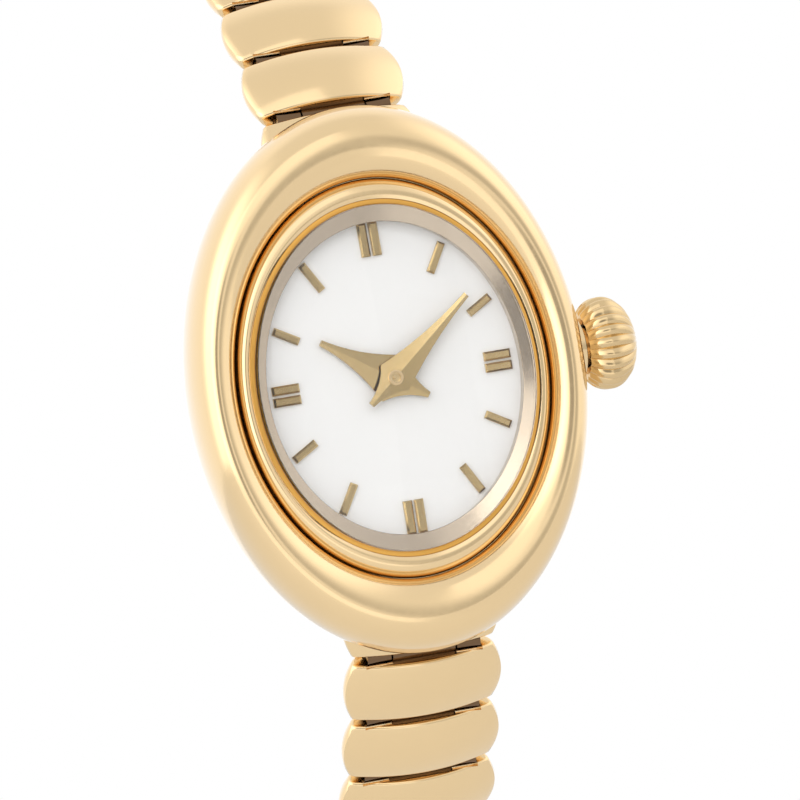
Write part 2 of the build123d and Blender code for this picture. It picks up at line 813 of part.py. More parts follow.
def barrel(middle, half_length, stations):
    """Crowned body of a bracelet piece, through sections at shares of its half length."""
    with BuildPart() as body:
        for station in stations:
            half = link_half_width - link_waist * station ** 2
            top = link_top - link_top_fall * station ** 2
            bottom = link_bottom - link_bottom_fall * station ** 2
            shoulder = top * link_side_share
            inner = half - link_corner
            belly = half - link_corner * link_side_share / 2
            face = Plane(origin=(middle + half_length * station, 0, 0), x_dir=(0, 1, 0), z_dir=(1, 0, 0))
            with BuildSketch(face):
                with BuildLine():
                    ThreePointArc((-half, shoulder), (0, top), (half, shoulder))
                    ThreePointArc((half, shoulder), (belly, (shoulder - bottom) / 2), (inner, -bottom))
                    Line((inner, -bottom), (-inner, -bottom))
                    ThreePointArc((-inner, -bottom), (-belly, (shoulder - bottom) / 2), (-half, shoulder))
                make_face()
        loft()
    return body.part


def cross_bar(radius, place, start, end, mode=Mode.ADD):
    """Round bar across a bracelet piece, at a place along it."""
    with BuildSketch(Plane(origin=(place, start, 0), x_dir=(0, 0, 1), z_dir=(0, 1, 0))) as base:
        Circle(radius)
    extrude(base.sketch, amount=end - start, mode=mode)


def plank(start, end, half_width, low, high, mode=Mode.ADD):
    """Flat piece along a bracelet piece, between limits along it and out of the wrist."""
    with BuildSketch(Plane(origin=((start + end) / 2, 0, low))) as base:
        Rectangle(end - start, 2 * half_width)
    extrude(base.sketch, amount=high - low, mode=mode)


def cut_tongue():
    """Shape the end nearer the case: a tongue round the pin, with room for the neighbour's ears."""
    inner, outer = tongue_half + tongue_play / 2, ear_outer + tongue_play
    for start, end in ((inner, outer), (-outer, -inner)):
        cross_bar(knuckle_relief, 0, start, end, Mode.SUBTRACT)
    cross_bar(knuckle_radius, 0, -tongue_half, tongue_half)
    cross_bar(pin_radius + pin_play, 0, -through, through, Mode.SUBTRACT)


def cut_ears(place):
    """Shape the end nearer the clasp: two ears that hold a pin, with a slot between them."""
    slot = tongue_half + tongue_play
    cross_bar(knuckle_relief, place, -slot, slot, Mode.SUBTRACT)
    for start, end in ((slot, ear_outer), (-ear_outer, -slot)):
        cross_bar(knuckle_radius, place, start, end)
    cross_bar(pin_radius + solder_gap, place, -ear_outer, ear_outer, Mode.SUBTRACT)
    cross_bar(pin_radius, place, solder_gap - ear_outer, ear_outer - solder_gap)


def link_form():
    """One link, with its pin in its ears."""
    with BuildPart() as form:
        add(barrel(link_pitch / 2, (link_pitch - link_gap) / 2, link_stations))
        cut_tongue()
        cut_ears(link_pitch)
    return form.part


def make_end_pieces():
    with BuildPart() as form:
        add(barrel(-link_pitch / 2, (link_pitch - link_gap) / 2, end_stations))
        cut_ears(0)
    grown_case = case_envelope(end_play)
    with BuildPart() as pieces:
        for side in (1, -1):
            with Locations(strand_frame(side, *first_pivot, end_slope)):
                add(form.part)
            low, high = sorted(side * z for z in end_block_span)
            block(-end_block_half, end_block_half, low, high, *end_block_heights)
            bar(bar_hole, -through, through, side * bar_place[0], bar_place[1], Mode.SUBTRACT)
        add(grown_case, mode=Mode.SUBTRACT)
    keep(pieces, "end_pieces")
    with BuildPart() as bars:
        for side in (1, -1):
            z, height = side * bar_place[0], bar_place[1]
            bar(bar_radius, -bar_half, bar_half, z, height)
            bar(bar_tip_radius - solder_gap, -bar_tip_reach, bar_tip_reach, z, height)
    keep(bars, "spring_bars")


def make_strands():
    form = link_form()
    for side, strand in ((1, "upper"), (-1, "lower")):
        for number, frame in enumerate(strand_frames(side)[:link_count], start=1):
            with BuildPart() as link:
                with Locations(frame):
                    add(form)
            keep(link, f"{strand}_link_{number:02d}")


def make_clasp():
    with BuildPart() as box_form:
        half_length = (box_length - clasp_gap / 2) / 2
        add(barrel(clasp_gap / 2 + half_length, half_length, link_stations))
        cut_tongue()
        plank(mouth_from, box_length, mouth_half_width, -mouth_half_height, mouth_half_height, Mode.SUBTRACT)
    with BuildPart() as box:
        with Locations(strand_frames(1)[-1]):
            add(box_form.part)
    keep(box, "clasp_box")
    with BuildPart() as tongue_form:
        half_length = (body_end - clasp_gap / 2) / 2
        add(barrel(clasp_gap / 2 + half_length, half_length, link_stations))
        cut_tongue()
        root = body_end - 2 * blade_fold
        plank(root, blade_end, blade_half_width, -blade_half_thickness, blade_half_thickness)
        plank(body_end, blade_end - blade_fold, blade_half_width, -blade_slot_half, blade_slot_half,
              Mode.SUBTRACT)
        plank(press_from, press_to, press_half_width, blade_slot_half, press_top)
    with BuildPart() as tongue:
        with Locations(strand_frames(-1)[-1]):
            add(tongue_form.part)
    keep(tongue, "clasp_tongue")


make_case()
make_bezel_ring()
make_crystal()
make_flange()
make_dial()
make_markers()
make_hands()
make_train()
make_plate_and_bridge()
make_screws()
make_motor()
make_circuit()
make_battery()
make_holder()
make_crown()
make_back()
make_end_pieces()
make_strands()
make_clasp()
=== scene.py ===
import math

import bmesh
import bpy
import numpy as np
from bpy.props import FloatProperty, FloatVectorProperty, IntProperty, PointerProperty
from mathutils import Matrix, Vector


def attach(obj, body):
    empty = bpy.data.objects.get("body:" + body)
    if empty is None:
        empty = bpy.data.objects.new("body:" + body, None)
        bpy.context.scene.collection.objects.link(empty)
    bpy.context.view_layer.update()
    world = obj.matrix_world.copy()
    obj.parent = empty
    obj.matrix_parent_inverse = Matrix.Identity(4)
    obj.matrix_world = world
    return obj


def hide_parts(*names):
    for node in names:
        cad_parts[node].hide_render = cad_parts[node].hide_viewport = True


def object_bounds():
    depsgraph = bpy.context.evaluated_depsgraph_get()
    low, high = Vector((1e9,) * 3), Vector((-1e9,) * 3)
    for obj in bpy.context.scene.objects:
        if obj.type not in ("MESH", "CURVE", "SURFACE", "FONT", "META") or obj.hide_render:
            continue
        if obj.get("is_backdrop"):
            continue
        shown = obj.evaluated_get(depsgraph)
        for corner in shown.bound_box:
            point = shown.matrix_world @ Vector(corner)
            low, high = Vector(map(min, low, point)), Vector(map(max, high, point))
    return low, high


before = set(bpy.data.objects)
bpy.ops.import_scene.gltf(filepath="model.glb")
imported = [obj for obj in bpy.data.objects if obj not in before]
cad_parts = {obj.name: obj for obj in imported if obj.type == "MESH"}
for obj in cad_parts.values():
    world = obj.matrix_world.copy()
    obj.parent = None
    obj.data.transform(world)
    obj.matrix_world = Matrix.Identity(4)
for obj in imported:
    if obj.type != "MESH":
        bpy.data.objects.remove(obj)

bl_info = {
    "name": "Oval Dress Watch",
    "version": (1, 0, 0),
    "blender": (4, 5, 0),
    "location": "View3D > Sidebar > Watch",
    "description": "Builds an oval gold dress watch with a link bracelet round its packed frame",
    "category": "Add Mesh",
}

MILLIMETRE = 0.001

# Height of the crown's and the stem's axis, in millimetres
STEM_HEIGHT = 3.3


# Sizes and colours that a user would change

def length(name, description, value):
    """A size property, given in millimetres and kept in metres."""
    return FloatProperty(name=name, description=description, default=value * MILLIMETRE,
                         min=0.0, unit="LENGTH", precision=6)


def tint(name, description, value):
    """A colour property."""
    return FloatVectorProperty(name=name, description=description, default=value, size=3,
                               subtype="COLOR", min=0.0, max=1.0)


class WatchCaseSizes(bpy.types.PropertyGroup):
    outline_wide: length("Outline to 3 o'clock", "Half width of the case at its widest", 10.25)
    outline_long: length("Outline to 12 o'clock", "Half length of the case at its widest", 14.0)
    groove_wide: length("Groove to 3 o'clock", "Half width where the dome ends in the groove", 8.18)
    groove_long: length("Groove to 12 o'clock", "Half length where the dome ends in the groove", 10.25)
    widest: length("Widest height", "Height of the case's widest outline", 3.5)
    rise: length("Crest rise", "Height of the crest over the widest outline", 2.57)
    roll: length("Crest roll", "Fall from the crest to the lip of the groove", 0.95)
    drop: length("Underside drop", "Fall of the underside below the widest outline", 3.0)
    groove_turn: FloatProperty(name="Groove turn", description="Turn of the dome's section at the groove",
                               default=math.radians(165), subtype="ANGLE")
    under_turn: FloatProperty(name="Underside turn", description="Turn of the dome's section at the back",
                              default=math.radians(-75), subtype="ANGLE")


class WatchDialSizes(bpy.types.PropertyGroup):
    glass_wide: length("Glass to 3 o'clock", "Half width of the crystal", 7.2)
    glass_long: length("Glass to 12 o'clock", "Half length of the crystal", 8.8)
    glass_floor: length("Glass floor", "Height of the crystal's underside", 5.35)
    glass_edge: length("Glass edge", "Thickness of the crystal's edge at 12 o'clock", 0.4)
    glass_dome: length("Glass dome", "Rise of the crystal over its edge", 0.75)
    opening_wide: length("Dial opening to 3 o'clock", "Half width of the flange's opening", 6.6)
    opening_long: length("Dial opening to 12 o'clock", "Half length of the flange's opening", 7.9)
    dial_height: length("Dial height", "Height of the dial's face", 4.4)


class WatchCrownSizes(bpy.types.PropertyGroup):
    ribs: IntProperty(name="Ribs", description="Number of ribs round the crown", default=22, min=8, max=60)
    valley: FloatProperty(name="Valley share", description="Radius of the valleys over that of the ribs",
                          default=0.92, min=0.8, max=1.0)
    axis_height: length("Axis height", "Height of the crown's axis", STEM_HEIGHT)


class WatchBraceletSizes(bpy.types.PropertyGroup):
    pitch: length("Pitch", "Distance from hinge to hinge", 3.9)
    half_width: length("Half width", "Half width of a link at its middle", 4.2)
    crown_height: length("Crown height", "Height of a link's crown over its hinges", 1.3)
    depth: length("Depth", "Depth of a link's underside below its hinges", 0.85)
    edge_round: length("Edge round", "Rounding of a link's end edges", 0.13)


class WatchFinishes(bpy.types.PropertyGroup):
    gold: tint("Plated gold", "Colour of the polished case and links", (0.92, 0.68, 0.37))
    # The hands' and markers' colour is a darker copy of the plated gold, a painted shade for the hands' dark
    # facets
    shaded_marker_gold: tint("Marker gold", "Colour of the hands and markers", (0.60, 0.44, 0.21))
    amber: tint("Seam amber", "Colour of the seam round the crystal", (0.80, 0.43, 0.10))
    champagne: tint("Champagne", "Colour of the flange round the dial", (0.56, 0.46, 0.35))
    dial_white: tint("Dial white", "Colour of the dial", (0.91, 0.90, 0.88))


class WatchStageSizes(bpy.types.PropertyGroup):
    azimuth: FloatProperty(name="Azimuth", description="Camera's turn round the watch",
                           default=math.radians(-14), subtype="ANGLE")
    roll: FloatProperty(name="Roll", description="Lean of the watch in the picture",
                        default=math.radians(9.5), subtype="ANGLE")
    distance: FloatProperty(name="Distance", description="Camera's distance from the hands' hub",
                            default=0.4, unit="LENGTH")
    picture_width: length("Picture width", "Width that the picture takes in at the hub", 40.42)


# Meshes

def in_millimetres(*sizes):
    """Size properties, which are metres, in millimetres."""
    return [size * 1000 for size in sizes]


def in_frame(points):
    """Points (towards 3, towards 12, height) in millimetres, as places in the frame in metres."""
    p = np.asarray(points, float).reshape(-1, 3)
    return np.column_stack((p[:, 0], -p[:, 2], p[:, 1])) * MILLIMETRE


def put(name, data):
    """An object with its data, linked to the scene."""
    made = bpy.data.objects.new(name, data)
    bpy.context.scene.collection.objects.link(made)
    return made


def turn_outwards(mesh, weld=0.0):
    """Turns a mesh's faces outwards, after welding the points that lie within a distance."""
    shape = bmesh.new()
    shape.from_mesh(mesh)
    if weld:
        bmesh.ops.remove_doubles(shape, verts=shape.verts, dist=weld)
    bmesh.ops.recalc_face_normals(shape, faces=shape.faces)
    shape.to_mesh(mesh)
    shape.free()


def piece_of(name, vertices, faces, material):
    """A closed piece with its faces outwards, smooth but for the corners."""
    mesh = bpy.data.meshes.new(name)
    mesh.from_pydata([tuple(v) for v in vertices], [], faces)
    turn_outwards(mesh, 1e-7)
    return polish(put(name, mesh), material)


def polish(piece, material, corner=32):
    """Smooth shading with sharp corners, and the piece's one material."""
    mesh = piece.data
    mesh.polygons.foreach_set("use_smooth", [True] * len(mesh.polygons))
    mesh.set_sharp_from_angle(angle=math.radians(corner))
    mesh.materials.clear()
    mesh.materials.append(material)
    mesh.polygons.foreach_set("material_index", [0] * len(mesh.polygons))
    mesh.update()
    return piece


def settled(piece):
    """Makes the piece's modifiers part of its mesh."""
    bpy.context.view_layer.update()
    graph = bpy.context.evaluated_depsgraph_get()
    mesh = bpy.data.meshes.new_from_object(piece.evaluated_get(graph))
    mesh.name = piece.name
    piece.modifiers.clear()
    old = piece.data
    piece.data = mesh
    bpy.data.meshes.remove(old)


def drop(piece):
    """Removes a helper piece and its mesh."""
    mesh = piece.data
    bpy.data.objects.remove(piece)
    bpy.data.meshes.remove(mesh)


def carve(piece, tool, operation="DIFFERENCE"):
    """Cuts the tool out of the piece, or joins it on, and removes the tool."""
    material = piece.data.materials[0]
    cut = piece.modifiers.new("carve", "BOOLEAN")
    cut.operation = operation
    cut.solver = "EXACT"
    cut.object = tool
    settled(piece)
    if not piece.data.polygons:
        raise RuntimeError(f"{piece.name} was lost in a cut")
    drop(tool)
    polish(piece, material)


def gather_shells(piece, others):
    """Adds other pieces to a piece as separate shells, and removes them."""
    shape = bmesh.new()
    for source in (piece, *others):
        shape.from_mesh(source.data)
    shape.to_mesh(piece.data)
    shape.free()
    for other in others:
        drop(other)


def rings(rows, closed=False, round_rows=True):
    """Vertices and faces of a surface through rows of points. A row of one point is a pole."""
    vertices, starts = [], []
    for row in rows:
        starts.append(len(vertices))
        vertices.extend(row)
    faces = []
    pairs = list(zip(range(len(rows)), range(1, len(rows))))
    if closed:
        pairs.append((len(rows) - 1, 0))
    for a, b in pairs:
        count = max(len(rows[a]), len(rows[b]))
        for i in range(count if round_rows else count - 1):
            j = (i + 1) % count
            corners = [starts[row] + (k if len(rows[row]) > 1 else 0)
                       for row, k in ((a, i), (a, j), (b, j), (b, i))]
            faces.append(tuple(dict.fromkeys(corners)))
    return vertices, faces


def capped(rows):
    """Vertices and faces of a surface through closed rows of points, with flat faces at its ends."""
    vertices, faces = rings(rows)
    count = len(rows[0])
    faces += [tuple(range(count)), tuple(range(len(vertices) - count, len(vertices)))]
    return vertices, faces


def oval_row(wide, long, height, segments):
    """Points round an oval. The height may depend on the place."""
    if wide == 0 and long == 0:
        return [tuple(in_frame([(0, 0, height(0, 0) if callable(height) else height)])[0])]
    turns = np.linspace(0, 2 * math.pi, segments, endpoint=False)
    x, z = wide * np.cos(turns), long * np.sin(turns)
    h = height(x, z) if callable(height) else np.full(segments, height)
    return [tuple(p) for p in in_frame(np.column_stack((x, z, h)))]


def oval_piece(name, profile, material, segments=320):
    """A piece made of ovals about the middle, from a profile of (half axis to 3, half axis to 12, height)."""
    closed = not (profile[0][0] == 0 or profile[-1][0] == 0)
    vertices, faces = rings([oval_row(*point, segments) for point in profile], closed)
    return piece_of(name, vertices, faces, material)


def runs_of(line):
    """Length of a line up to each of its points."""
    return np.r_[0, np.cumsum(np.linalg.norm(np.diff(line, axis=0), axis=1))]


def resampled(line, places):
    """Points of a line at places along it."""
    runs = runs_of(line)
    return np.column_stack([np.interp(places, runs, column) for column in line.T])


def softened(padded, reach, spread):
    """Points smoothed over a spread, given as a number of points. Their ends are lost to the reach."""
    weights = np.exp(-0.5 * (np.arange(-reach, reach + 1) / spread) ** 2)
    weights /= weights.sum()
    return np.column_stack([np.convolve(column, weights, "valid") for column in padded.T])


def rounded(points, spread, step):
    """An open line resampled at a step, with its corners rounded over a spread. Its ends stay."""
    line = np.asarray(points, float)
    whole = runs_of(line)[-1]
    count = max(8, int(whole / step))
    dense = resampled(line, np.linspace(0, whole, count))
    spread /= whole / count
    reach = max(1, int(3 * spread))
    padded = np.vstack([2 * dense[0] - dense[reach:0:-1], dense, 2 * dense[-1] - dense[-2:-reach - 2:-1]])
    out = softened(padded, reach, spread)
    out[0], out[-1] = line[0], line[-1]
    return [tuple(point) for point in out]


def arc(a, b, c, count):
    """Points on the arc from a through b to c, without its last point."""
    (ax, ay), (bx, by), (cx, cy) = a, b, c
    d = 2 * (ax * (by - cy) + bx * (cy - ay) + cx * (ay - by))
    ux = ((ax * ax + ay * ay) * (by - cy) + (bx * bx + by * by) * (cy - ay)
          + (cx * cx + cy * cy) * (ay - by)) / d
    uy = ((ax * ax + ay * ay) * (cx - bx) + (bx * bx + by * by) * (ax - cx)
          + (cx * cx + cy * cy) * (bx - ax)) / d
    radius = math.hypot(ax - ux, ay - uy)
    start, middle, end = (math.atan2(p[1] - uy, p[0] - ux) for p in (a, b, c))
    turn = (end - start) % (2 * math.pi)
    if (middle - start) % (2 * math.pi) > turn:
        turn -= 2 * math.pi
    angles = start + turn * np.arange(count) / count
    return np.column_stack((ux + radius * np.cos(angles), uy + radius * np.sin(angles)))


def turned(profile, count, put_point):
    """A turned shape from its profile of (place along its axis, radius), with its points put in place."""
    turns = np.linspace(0, 2 * math.pi, count, endpoint=False)
    rows = []
    for at, r in profile:
        rim = [(r * math.cos(t), r * math.sin(t)) for t in turns] if r else [(0.0, 0.0)]
        rows.append([put_point(at, u, v) for u, v in rim])
    return rings(rows)


def round_bar(radius, start, end, place, count):
    """Vertices and faces of a bar across a bracelet piece, in millimetres, at a place along it."""
    profile = ((start, 0), (start, radius), (end, radius), (end, 0))
    return turned(profile, count, lambda at, u, v: (place + u, at, v))


def box_of(low, high):
    """Vertices and faces of a box between two corners."""
    (x0, y0, z0), (x1, y1, z1) = low, high
    vertices = [(x0, y0, z0), (x1, y0, z0), (x1, y1, z0), (x0, y1, z0),
                (x0, y0, z1), (x1, y0, z1), (x1, y1, z1), (x0, y1, z1)]
    faces = [(0, 3, 2, 1), (4, 5, 6, 7), (0, 1, 5, 4), (1, 2, 6, 5), (2, 3, 7, 6), (3, 0, 4, 7)]
    return vertices, faces


def gathered(*shapes):
    """Several shapes as one list of vertices and one of faces."""
    vertices, faces = [], []
    for points, sides in shapes:
        base = len(vertices)
        vertices.extend(points)
        faces.extend(tuple(base + i for i in side) for side in sides)
    return vertices, faces


def solid_of(name, shape, look="polished gold"):
    """A closed piece from a shape in millimetres."""
    vertices, faces = shape
    return piece_of(name, [tuple(MILLIMETRE * c for c in v) for v in vertices], faces, finish(look))


def tool_of(*shapes):
    """A cutting or joining tool from shapes in millimetres."""
    return solid_of("tool", gathered(*shapes))


# Materials

# Painted shade: the dark gold that the knuckles' recesses are coloured towards, standing in for the shade
# that falls there
RECESS_SHADE_GOLD = (0.16, 0.08, 0.025)


def wire(tree, a, out, b, into):
    """Joins an output of one node to an input of another."""
    tree.links.new(a.outputs[out], b.inputs[into])


def new_finish(name):
    """A material with its tree, shader and Object coordinates."""
    material = bpy.data.materials.new(name)
    material.use_nodes = True
    tree = material.node_tree
    place = tree.nodes.new("ShaderNodeTexCoord")
    return material, tree, tree.nodes["Principled BSDF"], place


def noise(tree, place, scale, detail=3.0, stretch=None):
    """Noise on Object coordinates, which are metres, stretched along an axis if asked."""
    source, socket = place, "Object"
    if stretch:
        turn = tree.nodes.new("ShaderNodeMapping")
        turn.inputs["Scale"].default_value = stretch
        wire(tree, place, "Object", turn, "Vector")
        source, socket = turn, "Vector"
    node = tree.nodes.new("ShaderNodeTexNoise")
    node.inputs["Scale"].default_value = scale
    node.inputs["Detail"].default_value = detail
    wire(tree, source, socket, node, "Vector")
    return node


def map_range(tree, node, out, spans, smooth=True):
    """A value mapped from one range to another: from low, from high, to low, to high."""
    mapped = tree.nodes.new("ShaderNodeMapRange")
    mapped.interpolation_type = "SMOOTHSTEP" if smooth else "LINEAR"
    for name, value in zip(("From Min", "From Max", "To Min", "To Max"), spans):
        mapped.inputs[name].default_value = value
    wire(tree, node, out, mapped, "Value")
    return mapped


def joined(tree, operation, *values):
    """Values joined by an operation. Each is a number, or a node and its output, as the result is."""
    node = tree.nodes.new("ShaderNodeMath")
    node.operation = operation
    for i, value in enumerate(values):
        if isinstance(value, tuple):
            wire(tree, *value, node, i)
        else:
            node.inputs[i].default_value = value
    return node, "Value"


def faded(tree, by, first, second):
    """A value that turns into a constant as another value rises. Values are nodes with their outputs."""
    mix = tree.nodes.new("ShaderNodeMix")
    mix.data_type = "FLOAT"
    wire(tree, *by, mix, "Factor")
    wire(tree, *first, mix, "A")
    mix.inputs["B"].default_value = second
    return mix, 0


def let_through(tree, shader, share):
    """Lets light straight through the shader by a share, given as a node and its output."""
    clear = tree.nodes.new("ShaderNodeBsdfTransparent")
    mix = tree.nodes.new("ShaderNodeMixShader")
    wire(tree, *share, mix, "Fac")
    wire(tree, shader, "BSDF", mix, 1)
    wire(tree, clear, "BSDF", mix, 2)
    wire(tree, mix, "Shader", tree.nodes["Material Output"], "Surface")


def ranged(tree, node, low, high):
    """The middle of a noise's values, mapped to a range."""
    return map_range(tree, node, "Fac", (0.3, 0.7, low, high), smooth=False)


def varied(tree, node, first, second):
    """A colour between two by a value."""
    mix = tree.nodes.new("ShaderNodeMix")
    mix.data_type = "RGBA"
    mix.inputs["A"].default_value = (*first, 1)
    mix.inputs["B"].default_value = (*second, 1)
    wire(tree, node, "Fac", mix, "Factor")
    return mix


def bumped(tree, node, shader, strength, depth):
    """Bump from a value, with its depth in metres."""
    bump = tree.nodes.new("ShaderNodeBump")
    bump.inputs["Strength"].default_value = strength
    bump.inputs["Distance"].default_value = depth
    wire(tree, node, "Fac", bump, "Height")
    wire(tree, bump, "Normal", shader, "Normal")


def shade(colour, share):
    """A colour made darker or lighter by a share."""
    return tuple(min(1.0, c * share) for c in colour)


def metal(name, colour, low, high, grain=2600.0, stretch=None, depth=0.0000012, drift=0.03, coat=0.0):
    """Metal whose gloss varies with fine handling marks and whose colour drifts a little.

    Where a piece carries the recess attribute, as the knuckles between the links do, painted shade darkens
    its colour.
    """
    material, tree, shader, place = new_finish(name)
    shader.inputs["Metallic"].default_value = 1.0
    shader.inputs["Coat Weight"].default_value = coat
    shader.inputs["Coat Roughness"].default_value = 0.12
    cloud = noise(tree, place, 160.0, 2.0)
    face = varied(tree, cloud, shade(colour, 1 - drift), shade(colour, 1 + drift))
    shade_mark = tree.nodes.new("ShaderNodeAttribute")
    shade_mark.attribute_name = "recess"
    painted_shade = tree.nodes.new("ShaderNodeMix")
    painted_shade.data_type = "RGBA"
    painted_shade.inputs["B"].default_value = (*RECESS_SHADE_GOLD, 1)
    wire(tree, shade_mark, "Fac", painted_shade, "Factor")
    wire(tree, face, "Result", painted_shade, "A")
    wire(tree, painted_shade, "Result", shader, "Base Color")
    marks = noise(tree, place, grain, 4.0, stretch)
    wire(tree, ranged(tree, marks, low, high), "Result", shader, "Roughness")
    bumped(tree, marks, shader, 0.35, depth)
    return material


def plain(name, colour, roughness, grain=1500.0, depth=0.000004, second=0.9):
    """Matt stuff such as lacquer, rubber, plastic or board, with a fine grain."""
    material, tree, shader, place = new_finish(name)
    cloud = noise(tree, place, 400.0, 3.0)
    wire(tree, varied(tree, cloud, shade(colour, second), colour), "Result", shader, "Base Color")
    fine = noise(tree, place, grain, 4.0)
    wire(tree, ranged(tree, fine, roughness - 0.05, roughness + 0.05), "Result", shader, "Roughness")
    bumped(tree, fine, shader, 0.3, depth)
    return material


def make_glass(name):
    """Mineral glass that lets light through to the dial."""
    material, tree, shader, place = new_finish(name)
    shader.inputs["Transmission Weight"].default_value = 1.0
    shader.inputs["IOR"].default_value = 1.46
    shader.inputs["Base Color"].default_value = (0.99, 0.995, 1.0, 1)
    haze = noise(tree, place, 300.0, 2.0)
    wire(tree, ranged(tree, haze, 0.0, 0.006), "Result", shader, "Roughness")
    let_through(tree, shader, (tree.nodes.new("ShaderNodeLightPath"), "Is Shadow Ray"))
    return material


def finish(name):
    """A finish of this watch, made when it is first asked for."""
    if name in bpy.data.materials:
        return bpy.data.materials[name]
    look = bpy.context.scene.watch_finishes
    gold, brass, copper = tuple(look.gold), (0.72, 0.55, 0.30), (0.72, 0.30, 0.14)
    metals = {
        "polished gold": (gold, 0.13, 0.18, {"coat": 1.0}),
        # The crown's gold is the plated gold darkened: painted shade for the darker reflections on its ribs
        "crown gold": (shade(gold, 0.84), 0.07, 0.12, {}),
        "brushed gold": (gold, 0.22, 0.32, {"grain": 5200.0, "stretch": (0.05, 1.0, 1.0), "depth": 8e-7}),
        # A darker copy of the gold: painted shade for the hands' dark facets, which the markers take too
        "marker gold": (tuple(look.shaded_marker_gold), 0.10, 0.16, {}),
        "seam amber": (tuple(look.amber), 0.28, 0.42, {"grain": 4000.0}),
        "champagne satin": (tuple(look.champagne), 0.10, 0.18, {"grain": 5000.0}),
        "steel": ((0.56, 0.55, 0.53), 0.18, 0.30, {}),
        "movement brass": (brass, 0.25, 0.38, {"grain": 4500.0}),
        "copper winding": (copper, 0.25, 0.4, {"grain": 9000.0, "stretch": (6.0, 0.4, 0.4), "depth": 1e-5}),
    }
    matt = {
        "dial lacquer": (tuple(look.dial_white), 0.42, {"grain": 3500.0, "depth": 1.2e-6, "second": 0.985}),
        "gasket rubber": ((0.03, 0.03, 0.032), 0.6, {}),
        "holder plastic": ((0.80, 0.80, 0.78), 0.5, {}),
        "circuit lacquer": ((0.02, 0.20, 0.09), 0.4, {}),
    }
    if name in metals:
        *values, extras = metals[name]
        return metal(name, *values, **extras)
    if name in matt:
        *values, extras = matt[name]
        return plain(name, *values, **extras)
    return make_glass(name)


KEPT_NODES = {
    "dial lacquer": ("dial",),
    "marker gold": ("hour_markers", "hour_hand", "minute_hand"),
    "polished gold": ("cannon_pinion", "crown_tube"),
    "movement brass": ("centre_wheel", "hour_wheel", "minute_wheel", "third_wheel", "main_plate",
                       "train_bridge"),
    "steel": ("rotor", "stator", "battery", "battery_clamp", "movement_screws", "winding_stem",
              "spring_bars"),
    "copper winding": ("coil",),
    "circuit lacquer": ("circuit_board",),
    "holder plastic": ("movement_holder",),
    "gasket rubber": ("crown_gasket", "case_back_gasket"),
}


def stand_in(piece, node, body):
    """The piece stands for a node, whose CAD part is hidden, and rides on the node's body."""
    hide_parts(node)
    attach(piece, body)


# Case, bezel ring and back

def dome_line(sizes, grow=0.0, count=96):
    """The dome's section from its underside over the crest to the groove."""
    outer = in_millimetres(sizes.outline_wide, sizes.outline_long)
    inner = in_millimetres(sizes.groove_wide, sizes.groove_long)
    widest, rise, roll, drop = in_millimetres(sizes.widest, sizes.rise, sizes.roll, sizes.drop)
    swell = 1 - math.cos(sizes.groove_turn)
    swings = [(o - i) / swell for o, i in zip(outer, inner)]
    roll /= 1 - math.sin(sizes.groove_turn)
    line = []
    for turn in np.linspace(sizes.under_turn, sizes.groove_turn, count):
        if turn > math.pi / 2:
            height = widest + rise + grow - (roll + grow) * (1 - math.sin(turn))
        else:
            height = widest + ((rise if turn > 0 else drop) + grow) * math.sin(turn)
        line.append((*[o - s + (s + grow) * math.cos(turn) for o, s in zip(outer, swings)], height))
    return line


def end_recess(side, gap=0.0):
    """The room under one end of the case for the bracelet's end piece, grown inwards by a gap."""
    half, start = 3.35 - gap, 11.0 + gap
    wide_half, wide_start, reach = 4.35 - gap, 12.6 + gap, 16.0
    bottom, top = -3.0, 2.75 - gap
    outline = [(-half, start), (half, start), (half, wide_start), (wide_half, wide_start), (wide_half, reach),
               (-wide_half, reach), (-wide_half, wide_start), (-half, wide_start)]
    return capped([[(x, -height, side * z) for x, z in outline] for height in (bottom, top)])


def end_recesses(gap=0.0):
    """The rooms for both end pieces."""
    return [end_recess(side, gap) for side in (1, -1)]


def stem_hole():
    """The hole for the stem, with a wider mouth for the crown's foot."""
    inner_end, step, outer_end = 7.9, 9.85, 14.0
    bore, mouth = 1.0, 1.45
    profile = ((inner_end, 0), (inner_end, bore), (step, bore), (step, mouth), (outer_end, mouth),
               (outer_end, 0))
    return turned(profile, 64, lambda at, u, v: (at, u - STEM_HEIGHT, v))


